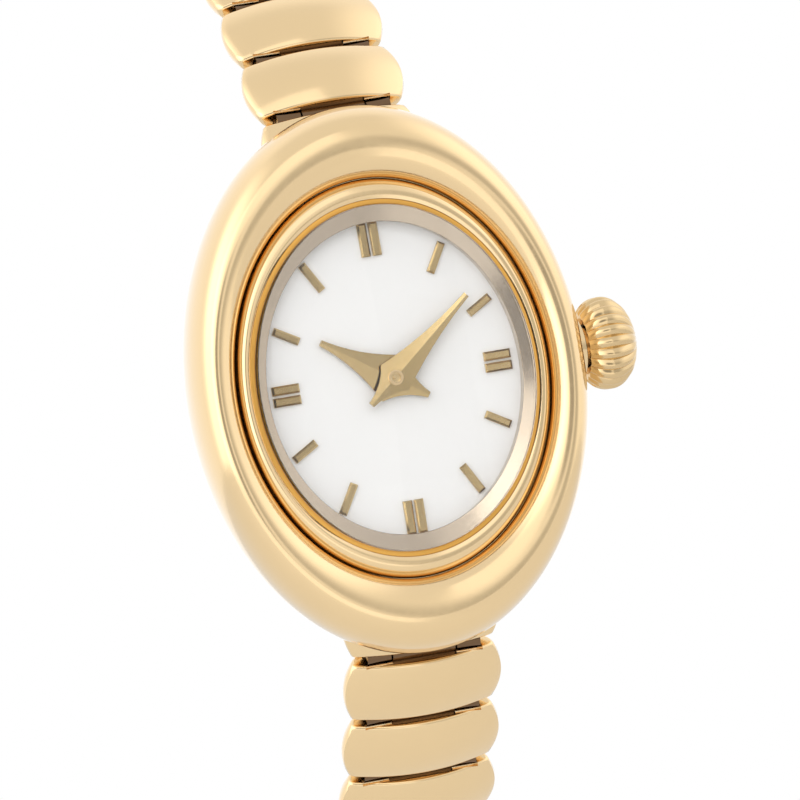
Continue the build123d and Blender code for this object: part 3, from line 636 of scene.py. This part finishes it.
class WATCH_OT_case(bpy.types.Operator):
    """Build the puffed case, its bezel ring and its back"""
    bl_idname = "watch.case"
    bl_label = "Case"

    def execute(self, context):
        dome = dome_line(context.scene.watch_case)
        lip, throat, room, mouth = (8.16, 10.2), (7.5, 9.0), (8.1, 10.0), (8.5, 10.4)
        lip_height, seat, under_seat, back_step = 5.0, 4.75, 4.4, 0.95
        inside = [(*lip, lip_height), (*lip, seat), (*throat, seat), (*throat, under_seat),
                  (*room, under_seat), (*room, back_step), (*mouth, back_step), (*mouth, dome[0][2])]
        case = oval_piece("case_shell", dome + inside, finish("polished gold"))
        carve(case, tool_of(*end_recesses(), stem_hole()))
        stand_in(case, "case_body", "case")

        foot, hem, ring_seat = (8.14, 10.18), (7.5, 9.1), 4.76
        bead = [(*foot, 4.84), (8.08, 10.1, 5.06), (8.02, 9.99, 5.28), (7.9, 9.8, 5.46),
                (7.75, 9.56, 5.55), (7.6, 9.3, 5.56), (*hem, 5.5)]
        ring = [(*foot, ring_seat)] + rounded(bead, 0.06, 0.02) + [(*hem, ring_seat)]
        bezel = oval_piece("bezel_bead", ring, finish("polished gold"))
        stand_in(bezel, "bezel_ring", "case")

        edge, spigot, pocket, rounding = (8.9, 10.9), (8.05, 9.93), (7.6, 9.48), 0.22
        plate, spigot_top, step_in, groove = 0.6, 1.0, 0.06, 0.05
        rim = [(*[e - rounding * (1 - math.cos(t)) for e in edge], rounding - rounding * math.sin(t))
               for t in np.linspace(0, math.pi / 2, 10)]
        step = [(8.2, 10.2, 0.0), (8.2 - step_in, 10.2 - step_in, groove),
                (8.0 + step_in, 10.0 + step_in, groove), (8.0, 10.0, 0.0)]
        back_line = [(0, 0, plate), (*pocket, plate), (*pocket, spigot_top), (*spigot, spigot_top),
                     (*spigot, plate), (*edge, plate)] + rim + step + [(0, 0, 0.0)]
        back = oval_piece("back_cover", back_line, finish("brushed gold"), 256)
        stand_in(back, "case_back", "case")
        return {"FINISHED"}


# Crystal, its seam and the flange

class WATCH_OT_glass(bpy.types.Operator):
    """Build the domed crystal, the amber seam round it and the champagne flange"""
    bl_idname = "watch.glass"
    bl_label = "Crystal and flange"

    def execute(self, context):
        sizes = context.scene.watch_dial
        wide, long, floor, edge, rise = in_millimetres(
            sizes.glass_wide, sizes.glass_long, sizes.glass_floor, sizes.glass_edge, sizes.glass_dome)
        radius = (long ** 2 + rise ** 2) / (2 * rise)
        centre = floor + edge + rise - radius

        def dome(x, z):
            return centre + np.sqrt(radius ** 2 - np.square(x) - np.square(z))

        lift = 0.04
        profile = [(0, 0, floor), (wide - lift, long - lift, floor), (wide, long, floor + lift),
                   (wide, long, lambda x, z: dome(x, z) - 1.2 * lift),
                   (wide - lift, long - lift, dome)]
        profile += [(wide * s, long * s, dome) for s in np.linspace(0.97, 0.03, 40)] + [(0, 0, dome)]
        crystal = oval_piece("crystal_glass", profile, finish("mineral glass"), 256)
        stand_in(crystal, "crystal", "case")

        gap, ramp, bevel = 0.02, 0.06, 0.03
        top, outer, outer_top = floor + 0.14, (7.49, 9.09), (7.44, 9.04)
        seam = [(wide + gap, long + gap, floor), (*outer, floor), (*outer, top - bevel), (*outer_top, top),
                (wide + ramp, long + ramp, top), (wide + gap, long + gap, top - bevel)]
        gasket = oval_piece("crystal_seam", seam, finish("seam amber"), 256)
        stand_in(gasket, "crystal_gasket", "case")

        *opening, dial = in_millimetres(sizes.opening_wide, sizes.opening_long, sizes.dial_height)
        foot, wall_top, head, rear = dial + 0.01, dial + 0.78, floor - 0.04, (7.45, 8.95)
        slope = [(*opening, foot), (*opening, wall_top), (wide - gap, long - gap, head)]
        line = rounded(slope, 0.03, 0.02) + [(*rear, head), (*rear, foot)]
        flange = oval_piece("dial_rim", line, finish("champagne satin"), 320)
        stand_in(flange, "dial_flange", "case")
        return {"FINISHED"}


# Dial, markers, hands and movement keep their CAD shapes

class WATCH_OT_movement(bpy.types.Operator):
    """Give the dial, markers, hands and movement their finishes"""
    bl_idname = "watch.movement"
    bl_label = "Dial, hands and movement"

    def execute(self, context):
        for look, names in KEPT_NODES.items():
            for name in names:
                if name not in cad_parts:
                    raise RuntimeError(f"the frame has no node {name}")
                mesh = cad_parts[name].data
                mesh.materials.clear()
                mesh.materials.append(finish(look))
        return {"FINISHED"}


# Crown

def new_group(name, **inputs):
    """A geometry node group with its ends and its named inputs."""
    group = bpy.data.node_groups.new(name, "GeometryNodeTree")
    group.interface.new_socket(name="Geometry", in_out="OUTPUT", socket_type="NodeSocketGeometry")
    for label, kind in {"Geometry": "Geometry", **inputs}.items():
        group.interface.new_socket(name=label, in_out="INPUT", socket_type=f"NodeSocket{kind}")
    return group


def wire_all(group, *joins):
    """Joins nodes: each join has a node, its output, the next node and its input."""
    for join in joins:
        wire(group, *join)


def apply_group(piece, group, values):
    """Runs a node group with its inputs set on a piece, and keeps the result as a plain mesh."""
    modifier = piece.modifiers.new(group.name, "NODES")
    modifier.node_group = group
    for item in group.interface.items_tree:
        if item.item_type == "SOCKET" and item.in_out == "INPUT" and item.name in values:
            modifier[item.identifier] = values[item.name]
    settled(piece)


def ribs_group():
    """Repeats one rib round the crown's axis."""
    group = new_group("crown ribs", Rib="Object", Count="Int", Place="Vector", Finish="Material")
    node = group.nodes.new
    start, end = node("NodeGroupInput"), node("NodeGroupOutput")
    points, index = node("GeometryNodePoints"), node("GeometryNodeInputIndex")
    divide, times = node("ShaderNodeMath"), node("ShaderNodeMath")
    divide.operation, times.operation = "DIVIDE", "MULTIPLY"
    times.inputs[1].default_value = 2 * math.pi
    turn, spin = node("ShaderNodeCombineXYZ"), node("FunctionNodeEulerToRotation")
    rib, move = node("GeometryNodeObjectInfo"), node("GeometryNodeTransform")
    each, real = node("GeometryNodeInstanceOnPoints"), node("GeometryNodeRealizeInstances")
    merge, paint = node("GeometryNodeMergeByDistance"), node("GeometryNodeSetMaterial")
    merge.inputs["Distance"].default_value = 2e-6
    wire_all(group, (start, "Count", points, "Count"), (index, "Index", divide, 0),
             (start, "Count", divide, 1), (divide, 0, times, 0), (times, 0, turn, "X"),
             (turn, "Vector", spin, "Euler"), (start, "Rib", rib, "Object"), (points, 0, each, "Points"),
             (rib, "Geometry", each, "Instance"), (spin, "Rotation", each, "Rotation"),
             (each, "Instances", move, "Geometry"), (start, "Place", move, "Translation"),
             (move, "Geometry", real, "Geometry"), (real, "Geometry", merge, "Geometry"),
             (merge, "Geometry", paint, "Geometry"), (start, "Finish", paint, "Material"),
             (paint, "Geometry", end, "Geometry"))
    return group


def crown_rib(sizes):
    """One rib of the crown as a wedge about the x axis, from the middle of a valley to the next."""
    stations = np.array([(10.43, 1.75), (10.8, 2.12), (11.4, 2.38), (12.0, 2.33), (12.55, 1.98),
                         (12.9, 1.5), (13.12, 0.95)])
    bore, bore_end, dimple = 1.12, 12.02, 0.55
    foot, tip = stations[0][0], stations[-1][0]
    runs = runs_of(stations)
    places = np.linspace(0, runs[-1], 61)
    line = np.column_stack([natural_spline(runs, column, places) for column in stations.T])
    half = math.pi / sizes.ribs

    def strip(x, r, valley=1.0):
        points = []
        for a in np.linspace(-1, 1, 15):
            share = 1 - (1 - valley) * abs(a) ** 1.7
            points.append((x, r * share * math.cos(a * half), r * share * math.sin(a * half)))
        return points

    rows = [[(bore_end, 0.0, 0.0)], strip(bore_end, bore), strip(foot, bore)]
    rows += [strip(x, r, sizes.valley) for x, r in line]
    rows += [strip(tip, dimple), [(tip, 0.0, 0.0)]]
    return rings(rows, round_rows=False)


class WATCH_OT_crown(bpy.types.Operator):
    """Build the ribbed crown"""
    bl_idname = "watch.crown"
    bl_label = "Crown"

    def execute(self, context):
        sizes = context.scene.watch_crown
        # The crown takes the darkened gold, a painted shade
        gold = finish("crown gold")
        rib = solid_of("rib", crown_rib(sizes), "crown gold")
        crown = put("crown_ribbed", bpy.data.meshes.new("crown_ribbed"))
        apply_group(crown, ribs_group(), {
            "Rib": rib, "Count": sizes.ribs, "Place": (0.0, -sizes.axis_height, 0.0), "Finish": gold})
        drop(rib)
        turn_outwards(crown.data)
        polish(crown, gold, 24)
        stand_in(crown, "crown", "crown")
        return {"FINISHED"}


def natural_spline(x, y, at):
    """Smooth curve through points, by natural cubic pieces."""
    n = len(x)
    h = np.diff(x)
    a = np.zeros((n, n))
    b = np.zeros(n)
    a[0, 0] = a[-1, -1] = 1
    for i in range(1, n - 1):
        a[i, i - 1:i + 2] = h[i - 1], 2 * (h[i - 1] + h[i]), h[i]
        b[i] = 3 * ((y[i + 1] - y[i]) / h[i] - (y[i] - y[i - 1]) / h[i - 1])
    c = np.linalg.solve(a, b)
    out = []
    for t in at:
        i = min(max(np.searchsorted(x, t) - 1, 0), n - 2)
        d = t - x[i]
        slope = (y[i + 1] - y[i]) / h[i] - h[i] * (2 * c[i] + c[i + 1]) / 3
        out.append(y[i] + slope * d + c[i] * d ** 2 + (c[i + 1] - c[i]) / (3 * h[i]) * d ** 3)
    return np.array(out)


# Bracelet: every piece is made along x from its hinge at the origin, with z out of the wrist.
# Lengths are in millimetres and bends in degrees.

LINK_COUNT = 13
END_SLOPE = 22.0
FIRST_PIVOT = (13.79, 1.47)
FIRST_BEND = 27.0
LINK_BEND = 7.756619
CLASP_BEND = 37.920577
OPEN_SHARE = 0.44

HALF_GAP = 0.2
KNUCKLE_RADIUS = 0.48
KNUCKLE_ROOM = 0.66
TONGUE_HALF = 1.65
TONGUE_ROOM = (1.7, 3.1)
EAR_SPAN = (1.75, 3.0)
PIN_RADIUS = 0.3
PIN_HALF = 2.99


def pitch_of(sizes):
    """Distance from hinge to hinge, in millimetres."""
    return round(sizes.pitch * 1000, 6)


def both_sides(start, end):
    """A span to one side of a bracelet piece's middle, and the same to the other."""
    return (start, end), (-end, -start)


def section(sizes, share, inset=0.0, count=96):
    """Section of a bracelet piece at a share of its half length, in millimetres."""
    narrower, lower, thinner, softness, fine = 0.46, 0.34, 0.27, 0.13, 480
    full_half, full_top, full_bottom = in_millimetres(sizes.half_width, sizes.crown_height, sizes.depth)
    half = full_half - narrower * share ** 2
    top = full_top - lower * share ** 2
    bottom = full_bottom - thinner * share ** 2
    shoulder, inner, belly = 0.32 * top, half - 0.5, half - 0.08
    middle = (shoulder - bottom) / 2
    right = np.vstack([arc((0, top), (half * 0.52, top - (top - shoulder) * 0.27), (half, shoulder), 60),
                       arc((half, shoulder), (belly, middle), (inner, -bottom), 40),
                       [(inner, -bottom), (0, -bottom)]])
    line = np.vstack([right, right[-2:0:-1] * (-1, 1), right[:1]])
    whole = runs_of(line)[-1]
    dense = resampled(line, np.linspace(0, whole, fine, endpoint=False))
    spread = softness / (whole / fine)
    reach = int(3 * spread) + 1
    soft = softened(np.vstack([dense[-reach:], dense, dense[:reach]]), reach, spread)
    tangent = np.roll(soft, -1, axis=0) - np.roll(soft, 1, axis=0)
    tangent /= np.linalg.norm(tangent, axis=1)[:, None]
    inward = np.column_stack((tangent[:, 1], -tangent[:, 0]))
    if np.mean(np.sum(inward * soft, axis=1)) > 0:
        inward = -inward
    return (soft + inset * inward)[::fine // count]


def barrel_form(sizes, start, end, first=-1.0, last=1.0, stations=22, ends=(True, True)):
    """Crowned body of a bracelet piece between two places along it, with rounded ends if asked."""
    radius = sizes.edge_round * 1000
    rounding = [(radius * (1 - math.sin(turn)), radius * (1 - math.cos(turn)))
                for turn in np.linspace(math.pi / 2, 0, 6)]
    places = np.linspace(start + radius * ends[0], end - radius * ends[1], stations)
    stops = [(place, 0.0) for place in places][int(ends[0]):stations - ends[1]]
    if ends[0]:
        stops = [(start + depth, inset) for depth, inset in rounding] + stops
    if ends[1]:
        stops += [(end - depth, inset) for depth, inset in rounding[::-1]]
    rows = []
    for place, inset in stops:
        share = first + (last - first) * (place - start) / (end - start)
        rows.append([(place, y, z) for y, z in section(sizes, share, inset)])
    return capped(rows)


def knuckles(place, radius, *spans):
    """A tool with round knuckles across a bracelet piece."""
    return tool_of(*[round_bar(radius, start, end, place, 40) for start, end in spans])


def mark_painted_shade(form, *places):
    """Marks the knuckles round each hinge for painted shade, which darkens their colour below that of the
    polished faces.
    """
    reach, half = 0.5, 3.1
    mesh = form.data
    shade_mark = mesh.attributes.new("recess", "FLOAT", "POINT")
    spots = np.empty(len(mesh.vertices) * 3)
    mesh.vertices.foreach_get("co", spots)
    spots = spots.reshape(-1, 3) / MILLIMETRE
    # The painted shade covers the points near a hinge's axis, within the bracelet's width
    near = np.min([np.hypot(spots[:, 0] - place, spots[:, 2]) for place in places], axis=0)
    inner = (near < reach) & (np.abs(spots[:, 1]) < half)
    shade_mark.data.foreach_set("value", inner.astype(float))


def with_tongue(form):
    """The end nearer the case: a tongue round the pin, with room for the neighbour's ears."""
    carve(form, knuckles(0, KNUCKLE_ROOM, *both_sides(*TONGUE_ROOM)))
    carve(form, knuckles(0, KNUCKLE_RADIUS, (-TONGUE_HALF, TONGUE_HALF)), "UNION")


def with_ears(form, place):
    """The end nearer the clasp: two ears with a slot between them."""
    carve(form, knuckles(place, KNUCKLE_ROOM, (-EAR_SPAN[0], EAR_SPAN[0])))
    carve(form, knuckles(place, KNUCKLE_RADIUS, *both_sides(*EAR_SPAN)), "UNION")


def with_pin(form, place):
    """The pin that shows between the ears, as a separate shell."""
    pin = solid_of("pin", round_bar(PIN_RADIUS, -PIN_HALF, PIN_HALF, place, 32))
    gather_shells(form, [pin])
    polish(form, finish("polished gold"))


def strand_places(side, pitch):
    """Place, as a matrix, of each hinge's piece along a strand: the links and the clasp half."""
    z, height = FIRST_PIVOT
    slope = END_SLOPE
    places = []
    for bend in [FIRST_BEND] + [LINK_BEND] * (LINK_COUNT - 1) + [CLASP_BEND]:
        slope += bend * (1 - OPEN_SHARE)
        places.append(placed(side, z, height, slope))
        z += pitch * math.cos(math.radians(slope))
        height -= pitch * math.sin(math.radians(slope))
    return places


def placed(side, z, height, slope):
    """Matrix that takes a bracelet piece to its hinge, at a slope into the wrist."""
    angle = math.radians(slope)
    along = Vector((0, math.sin(angle), side * math.cos(angle)))
    out = Vector((0, -math.cos(angle), side * math.sin(angle)))
    across = out.cross(along)
    matrix = Matrix((along, across, out)).transposed().to_4x4()
    matrix.translation = Vector((0, -height, side * z)) * MILLIMETRE
    return matrix


def links_group():
    """Sets the link with a number on its hinge along a strand."""
    group = new_group("bracelet links", Link="Object", Number="Int", Finish="Material")
    node = group.nodes.new
    start, end = node("NodeGroupInput"), node("NodeGroupOutput")
    index, same = node("GeometryNodeInputIndex"), node("FunctionNodeCompare")
    same.data_type, same.operation = "INT", "EQUAL"
    turn, spin = node("GeometryNodeInputNamedAttribute"), node("FunctionNodeEulerToRotation")
    turn.data_type = "FLOAT_VECTOR"
    turn.inputs["Name"].default_value = "turn"
    link, paint = node("GeometryNodeObjectInfo"), node("GeometryNodeSetMaterial")
    each, real = node("GeometryNodeInstanceOnPoints"), node("GeometryNodeRealizeInstances")
    wire_all(group, (start, "Geometry", each, "Points"), (index, "Index", same, 2),
             (start, "Number", same, 3), (same, "Result", each, "Selection"),
             (start, "Link", link, "Object"), (link, "Geometry", each, "Instance"),
             (turn, "Attribute", spin, "Euler"), (spin, "Rotation", each, "Rotation"),
             (each, "Instances", real, "Geometry"), (real, "Geometry", paint, "Geometry"),
             (start, "Finish", paint, "Material"), (paint, "Geometry", end, "Geometry"))
    return group


class WATCH_OT_links(bpy.types.Operator):
    """Build the bracelet's links, one piece on each hinge"""
    bl_idname = "watch.links"
    bl_label = "Links"

    def execute(self, context):
        sizes = context.scene.watch_bracelet
        pitch, gold = pitch_of(sizes), finish("polished gold")
        form = solid_of("link_form", barrel_form(sizes, HALF_GAP, pitch - HALF_GAP))
        with_tongue(form)
        with_ears(form, pitch)
        with_pin(form, pitch)
        mark_painted_shade(form, 0, pitch)
        group = links_group()
        for side, strand in ((1, "upper"), (-1, "lower")):
            places = strand_places(side, pitch)[:LINK_COUNT]
            for number in range(LINK_COUNT):
                name = f"{strand}_link_{number + 1:02d}"
                mesh = bpy.data.meshes.new(name)
                mesh.from_pydata([tuple(place.translation) for place in places], [], [])
                turns = mesh.attributes.new("turn", "FLOAT_VECTOR", "POINT")
                turns.data.foreach_set("vector", [c for place in places for c in place.to_euler("XYZ")])
                link = put(f"{name}_polished", mesh)
                apply_group(link, group, {"Link": form, "Number": number, "Finish": gold})
                if not link.data.polygons:
                    raise RuntimeError(f"{name} came out empty")
                polish(link, gold)
                stand_in(link, name, name)
        drop(form)
        return {"FINISHED"}


class WATCH_OT_end_pieces(bpy.types.Operator):
    """Build the end pieces that hold the bracelet to the case"""
    bl_idname = "watch.end_pieces"
    bl_label = "End pieces"

    def execute(self, context):
        sizes = context.scene.watch_bracelet
        pitch, gold = pitch_of(sizes), finish("polished gold")
        half, centre, start_share = pitch / 2 - HALF_GAP, -pitch / 2, 0.2
        block_half, block_span, block_heights, gap = 3.25, (11.1, 12.9), (0.75, 2.65), 0.05
        parts = []
        for side in (1, -1):
            body = barrel_form(sizes, centre + start_share * half, centre + half, start_share, 1.0,
                               stations=12, ends=(False, True))
            form = solid_of("end_form", body)
            with_ears(form, 0)
            with_pin(form, 0)
            mark_painted_shade(form, 0)
            form.data.transform(placed(side, *FIRST_PIVOT, END_SLOPE))
            near, far = sorted(side * z for z in block_span)
            block = box_of((-block_half, -block_heights[1], near), (block_half, -block_heights[0], far))
            parts += [form, solid_of("end_block", block)]
        piece = put("end_piece_pair", bpy.data.meshes.new("end_piece_pair"))
        gather_shells(piece, parts)
        piece.data.materials.append(gold)
        dome = dome_line(context.scene.watch_case, gap, 60)
        solid = oval_piece("case_room", [(0, 0, dome[0][2])] + dome + [(0, 0, dome[-1][2])], gold, 200)
        carve(solid, tool_of(*end_recesses(gap)))
        carve(piece, solid)
        stand_in(piece, "end_pieces", "case")
        return {"FINISHED"}


class WATCH_OT_clasp(bpy.types.Operator):
    """Build the clasp's box and its tongue"""
    bl_idname = "watch.clasp"
    bl_label = "Clasp"

    def execute(self, context):
        sizes = context.scene.watch_bracelet
        pitch = pitch_of(sizes)
        start, box_end, tongue_end = 0.3, 12.8, 5.0
        box = solid_of("clasp_box_polished", barrel_form(sizes, start, box_end, stations=36))
        with_tongue(box)
        mouth = box_of((8.3, -2.9, -0.5), (13.5, 2.9, 0.5))
        carve(box, tool_of(mouth))
        mark_painted_shade(box, 0)
        box.data.transform(strand_places(1, pitch)[-1])
        stand_in(box, "clasp_box", "clasp_box")

        tongue = solid_of("clasp_tongue_polished", barrel_form(sizes, start, tongue_end))
        with_tongue(tongue)
        upper_leaf, blade_half = [(4.3, 0.32), (9.15, 0.32), (9.32, 0.24), (9.4, 0.0)], 2.6
        outline = [(x, -z) for x, z in upper_leaf] + upper_leaf[-2::-1]
        blade = capped([[(x, y, z) for x, z in outline] for y in (-blade_half, blade_half)])
        slit = box_of((tongue_end, -3.0, -0.1), (9.05, 3.0, 0.1))
        button = box_of((5.15, -1.3, 0.1), (5.85, 1.3, 1.15))
        carve(tongue, tool_of(blade), "UNION")
        carve(tongue, tool_of(slit))
        carve(tongue, tool_of(button), "UNION")
        mark_painted_shade(tongue, 0)
        tongue.data.transform(strand_places(-1, pitch)[-1])
        stand_in(tongue, "clasp_tongue", "clasp_tongue")
        return {"FINISHED"}


# Stage

LENS_SIDE = (-0.242, -0.970, 0.0)
FRONT_LIGHT, BACK_LIGHT, SEEN_LIGHT = 0.58, 1.05, 1.0
LIGHT_BANDS = (
    ("Z", (0.0, 0.45, 0.0, 0.28)),
    ("Z", (-0.9, 0.0, -0.2, 0.0)),
    ("X", (-0.9, -0.3, 1.1, 0.0)),
    ("X", (0.35, 0.8, 0.0, 0.5)),
)


def studio_world():
    """Soft studio surroundings: bright at both sides, white behind, with a dark hood round the lens."""
    world = bpy.data.worlds.new("studio")
    world.use_nodes = True
    tree = world.node_tree
    background = tree.nodes["Background"]
    place = tree.nodes.new("ShaderNodeTexCoord")
    axes = tree.nodes.new("ShaderNodeSeparateXYZ")
    wire(tree, place, "Generated", axes, "Vector")
    front = FRONT_LIGHT
    for axis, spans in LIGHT_BANDS:
        front = joined(tree, "ADD", front, (map_range(tree, axes, axis, spans), "Result"))
    behind = map_range(tree, axes, "Y", (0.05, 0.5, 0.0, 1.0))
    around = faded(tree, (behind, "Result"), front, BACK_LIGHT)
    towards = tree.nodes.new("ShaderNodeVectorMath")
    towards.operation = "DOT_PRODUCT"
    wire(tree, place, "Generated", towards, 0)
    towards.inputs[1].default_value = LENS_SIDE
    hood = map_range(tree, towards, "Value", (0.955, 0.985, 1.0, 0.12))
    shown = joined(tree, "MULTIPLY", around, (hood, "Result"))
    rays = tree.nodes.new("ShaderNodeLightPath")
    seen = faded(tree, (rays, "Is Camera Ray"), shown, SEEN_LIGHT)
    wire(tree, *seen, background, "Strength")
    background.inputs["Color"].default_value = (1, 1, 1, 1)
    return world


def floor_finish():
    """Pale floor that keeps the object's shadow. It fades out far off and isn't seen from below."""
    material, tree, shader, place = new_finish("pale floor")
    darker, lighter, fade = (0.68, 0.68, 0.68), (0.71, 0.71, 0.71), (0.07, 0.22)
    speck = noise(tree, place, 40.0, 2.0)
    wire(tree, varied(tree, speck, darker, lighter), "Result", shader, "Base Color")
    shader.inputs["Roughness"].default_value = 0.9
    facing, rays = tree.nodes.new("ShaderNodeNewGeometry"), tree.nodes.new("ShaderNodeLightPath")
    reach = tree.nodes.new("ShaderNodeVectorMath")
    reach.operation = "LENGTH"
    wire(tree, place, "Object", reach, 0)
    far = map_range(tree, reach, "Value", (*fade, 0.0, 1.0))
    seen = joined(tree, "MULTIPLY", (far, "Result"), (rays, "Is Camera Ray"))
    let_through(tree, shader, joined(tree, "MAXIMUM", seen, (facing, "Backfacing")))
    return material


def lamp(name, size, energy, place, target):
    """A soft square lamp aimed at a point, which the camera doesn't see."""
    data = bpy.data.lights.new(name, "AREA")
    data.shape = "SQUARE"
    data.size = size
    data.energy = energy
    light = put(name, data)
    light.location = place
    light.rotation_euler = (Vector(target) - Vector(place)).to_track_quat("-Z", "Y").to_euler()
    light.visible_camera = False
    return light


def lay_floor(height, radius=0.34):
    """A round floor at a height."""
    turns = np.linspace(0, 2 * math.pi, 96, endpoint=False)
    rim = [(radius * math.cos(t), radius * math.sin(t), height) for t in turns]
    mesh = bpy.data.meshes.new("floor")
    mesh.from_pydata(rim, [], [tuple(range(len(rim)))])
    mesh.materials.append(floor_finish())
    put("floor", mesh)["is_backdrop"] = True


class WATCH_OT_stage(bpy.types.Operator):
    """Set up the floor, the soft light and the camera"""
    bl_idname = "watch.stage"
    bl_label = "Stage"

    def execute(self, context):
        scene = context.scene
        sizes = scene.watch_stage
        scene.view_settings.view_transform = "Standard"
        scene.world = studio_world()
        straight = FIRST_PIVOT[0] * MILLIMETRE + (LINK_COUNT + 3) * scene.watch_bracelet.pitch
        floor_gap = 0.0002
        lay_floor(min(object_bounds()[0].z, -straight) - floor_gap)
        fill = lamp("fill lamp", size=0.6, energy=1.5, place=(-0.25, -0.75, 0.35), target=(0, 0, 0))
        fill.visible_glossy = False
        lamp("soft panel", size=0.288, energy=0.09, place=(-0.118, -0.126, 0.02), target=(-0.118, 0, 0.02))

        azimuth, roll = sizes.azimuth, sizes.roll
        back = Vector((math.sin(azimuth), -math.cos(azimuth), 0))
        level = Vector((math.cos(azimuth), math.sin(azimuth), 0))
        upright = Vector((0, 0, 1))
        right = math.cos(roll) * level - math.sin(roll) * upright
        up = math.sin(roll) * level + math.cos(roll) * upright
        hub = Vector((0, -5.1, 0)) * MILLIMETRE
        picture_pixels, hub_left, hub_above, sensor = 800, 6.0, 22.2, 36
        pixel = sizes.picture_width / picture_pixels
        aim = hub + pixel * (hub_left * right - hub_above * up)
        camera = put("camera", bpy.data.cameras.new("camera"))
        camera.data.sensor_width = sensor
        camera.data.lens = sensor * sizes.distance / sizes.picture_width
        camera.data.clip_start, camera.data.clip_end = 0.01, 10
        turn = Matrix((right, up, back)).transposed().to_4x4()
        turn.translation = aim + back * sizes.distance
        camera.matrix_world = turn
        scene.camera = camera
        return {"FINISHED"}


class WATCH_PT_panel(bpy.types.Panel):
    """Sizes, finishes and the steps that build the watch"""
    bl_idname = "WATCH_PT_panel"
    bl_label = "Oval dress watch"
    bl_space_type = "VIEW_3D"
    bl_region_type = "UI"
    bl_category = "Watch"

    def draw(self, context):
        for group in GROUPS:
            for name in GROUPS[group].__annotations__:
                self.layout.prop(getattr(context.scene, group), name)
        for step in STEPS:
            self.layout.operator(step.bl_idname)


GROUPS = {
    "watch_case": WatchCaseSizes,
    "watch_dial": WatchDialSizes,
    "watch_crown": WatchCrownSizes,
    "watch_bracelet": WatchBraceletSizes,
    "watch_finishes": WatchFinishes,
    "watch_stage": WatchStageSizes,
}
STEPS = (WATCH_OT_case, WATCH_OT_glass, WATCH_OT_movement, WATCH_OT_crown, WATCH_OT_end_pieces,
         WATCH_OT_links, WATCH_OT_clasp, WATCH_OT_stage)


def register():
    for group, kind in GROUPS.items():
        bpy.utils.register_class(kind)
        setattr(bpy.types.Scene, group, PointerProperty(type=kind))
    for step in STEPS + (WATCH_PT_panel,):
        bpy.utils.register_class(step)


def unregister():
    for step in reversed(STEPS + (WATCH_PT_panel,)):
        bpy.utils.unregister_class(step)
    for group, kind in GROUPS.items():
        delattr(bpy.types.Scene, group)
        bpy.utils.unregister_class(kind)


def main():
    """Builds the whole watch."""
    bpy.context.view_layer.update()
    register()
    for step in STEPS:
        category, name = step.bl_idname.split(".")
        getattr(getattr(bpy.ops, category), name)()


if __name__ == "__main__":
    main()
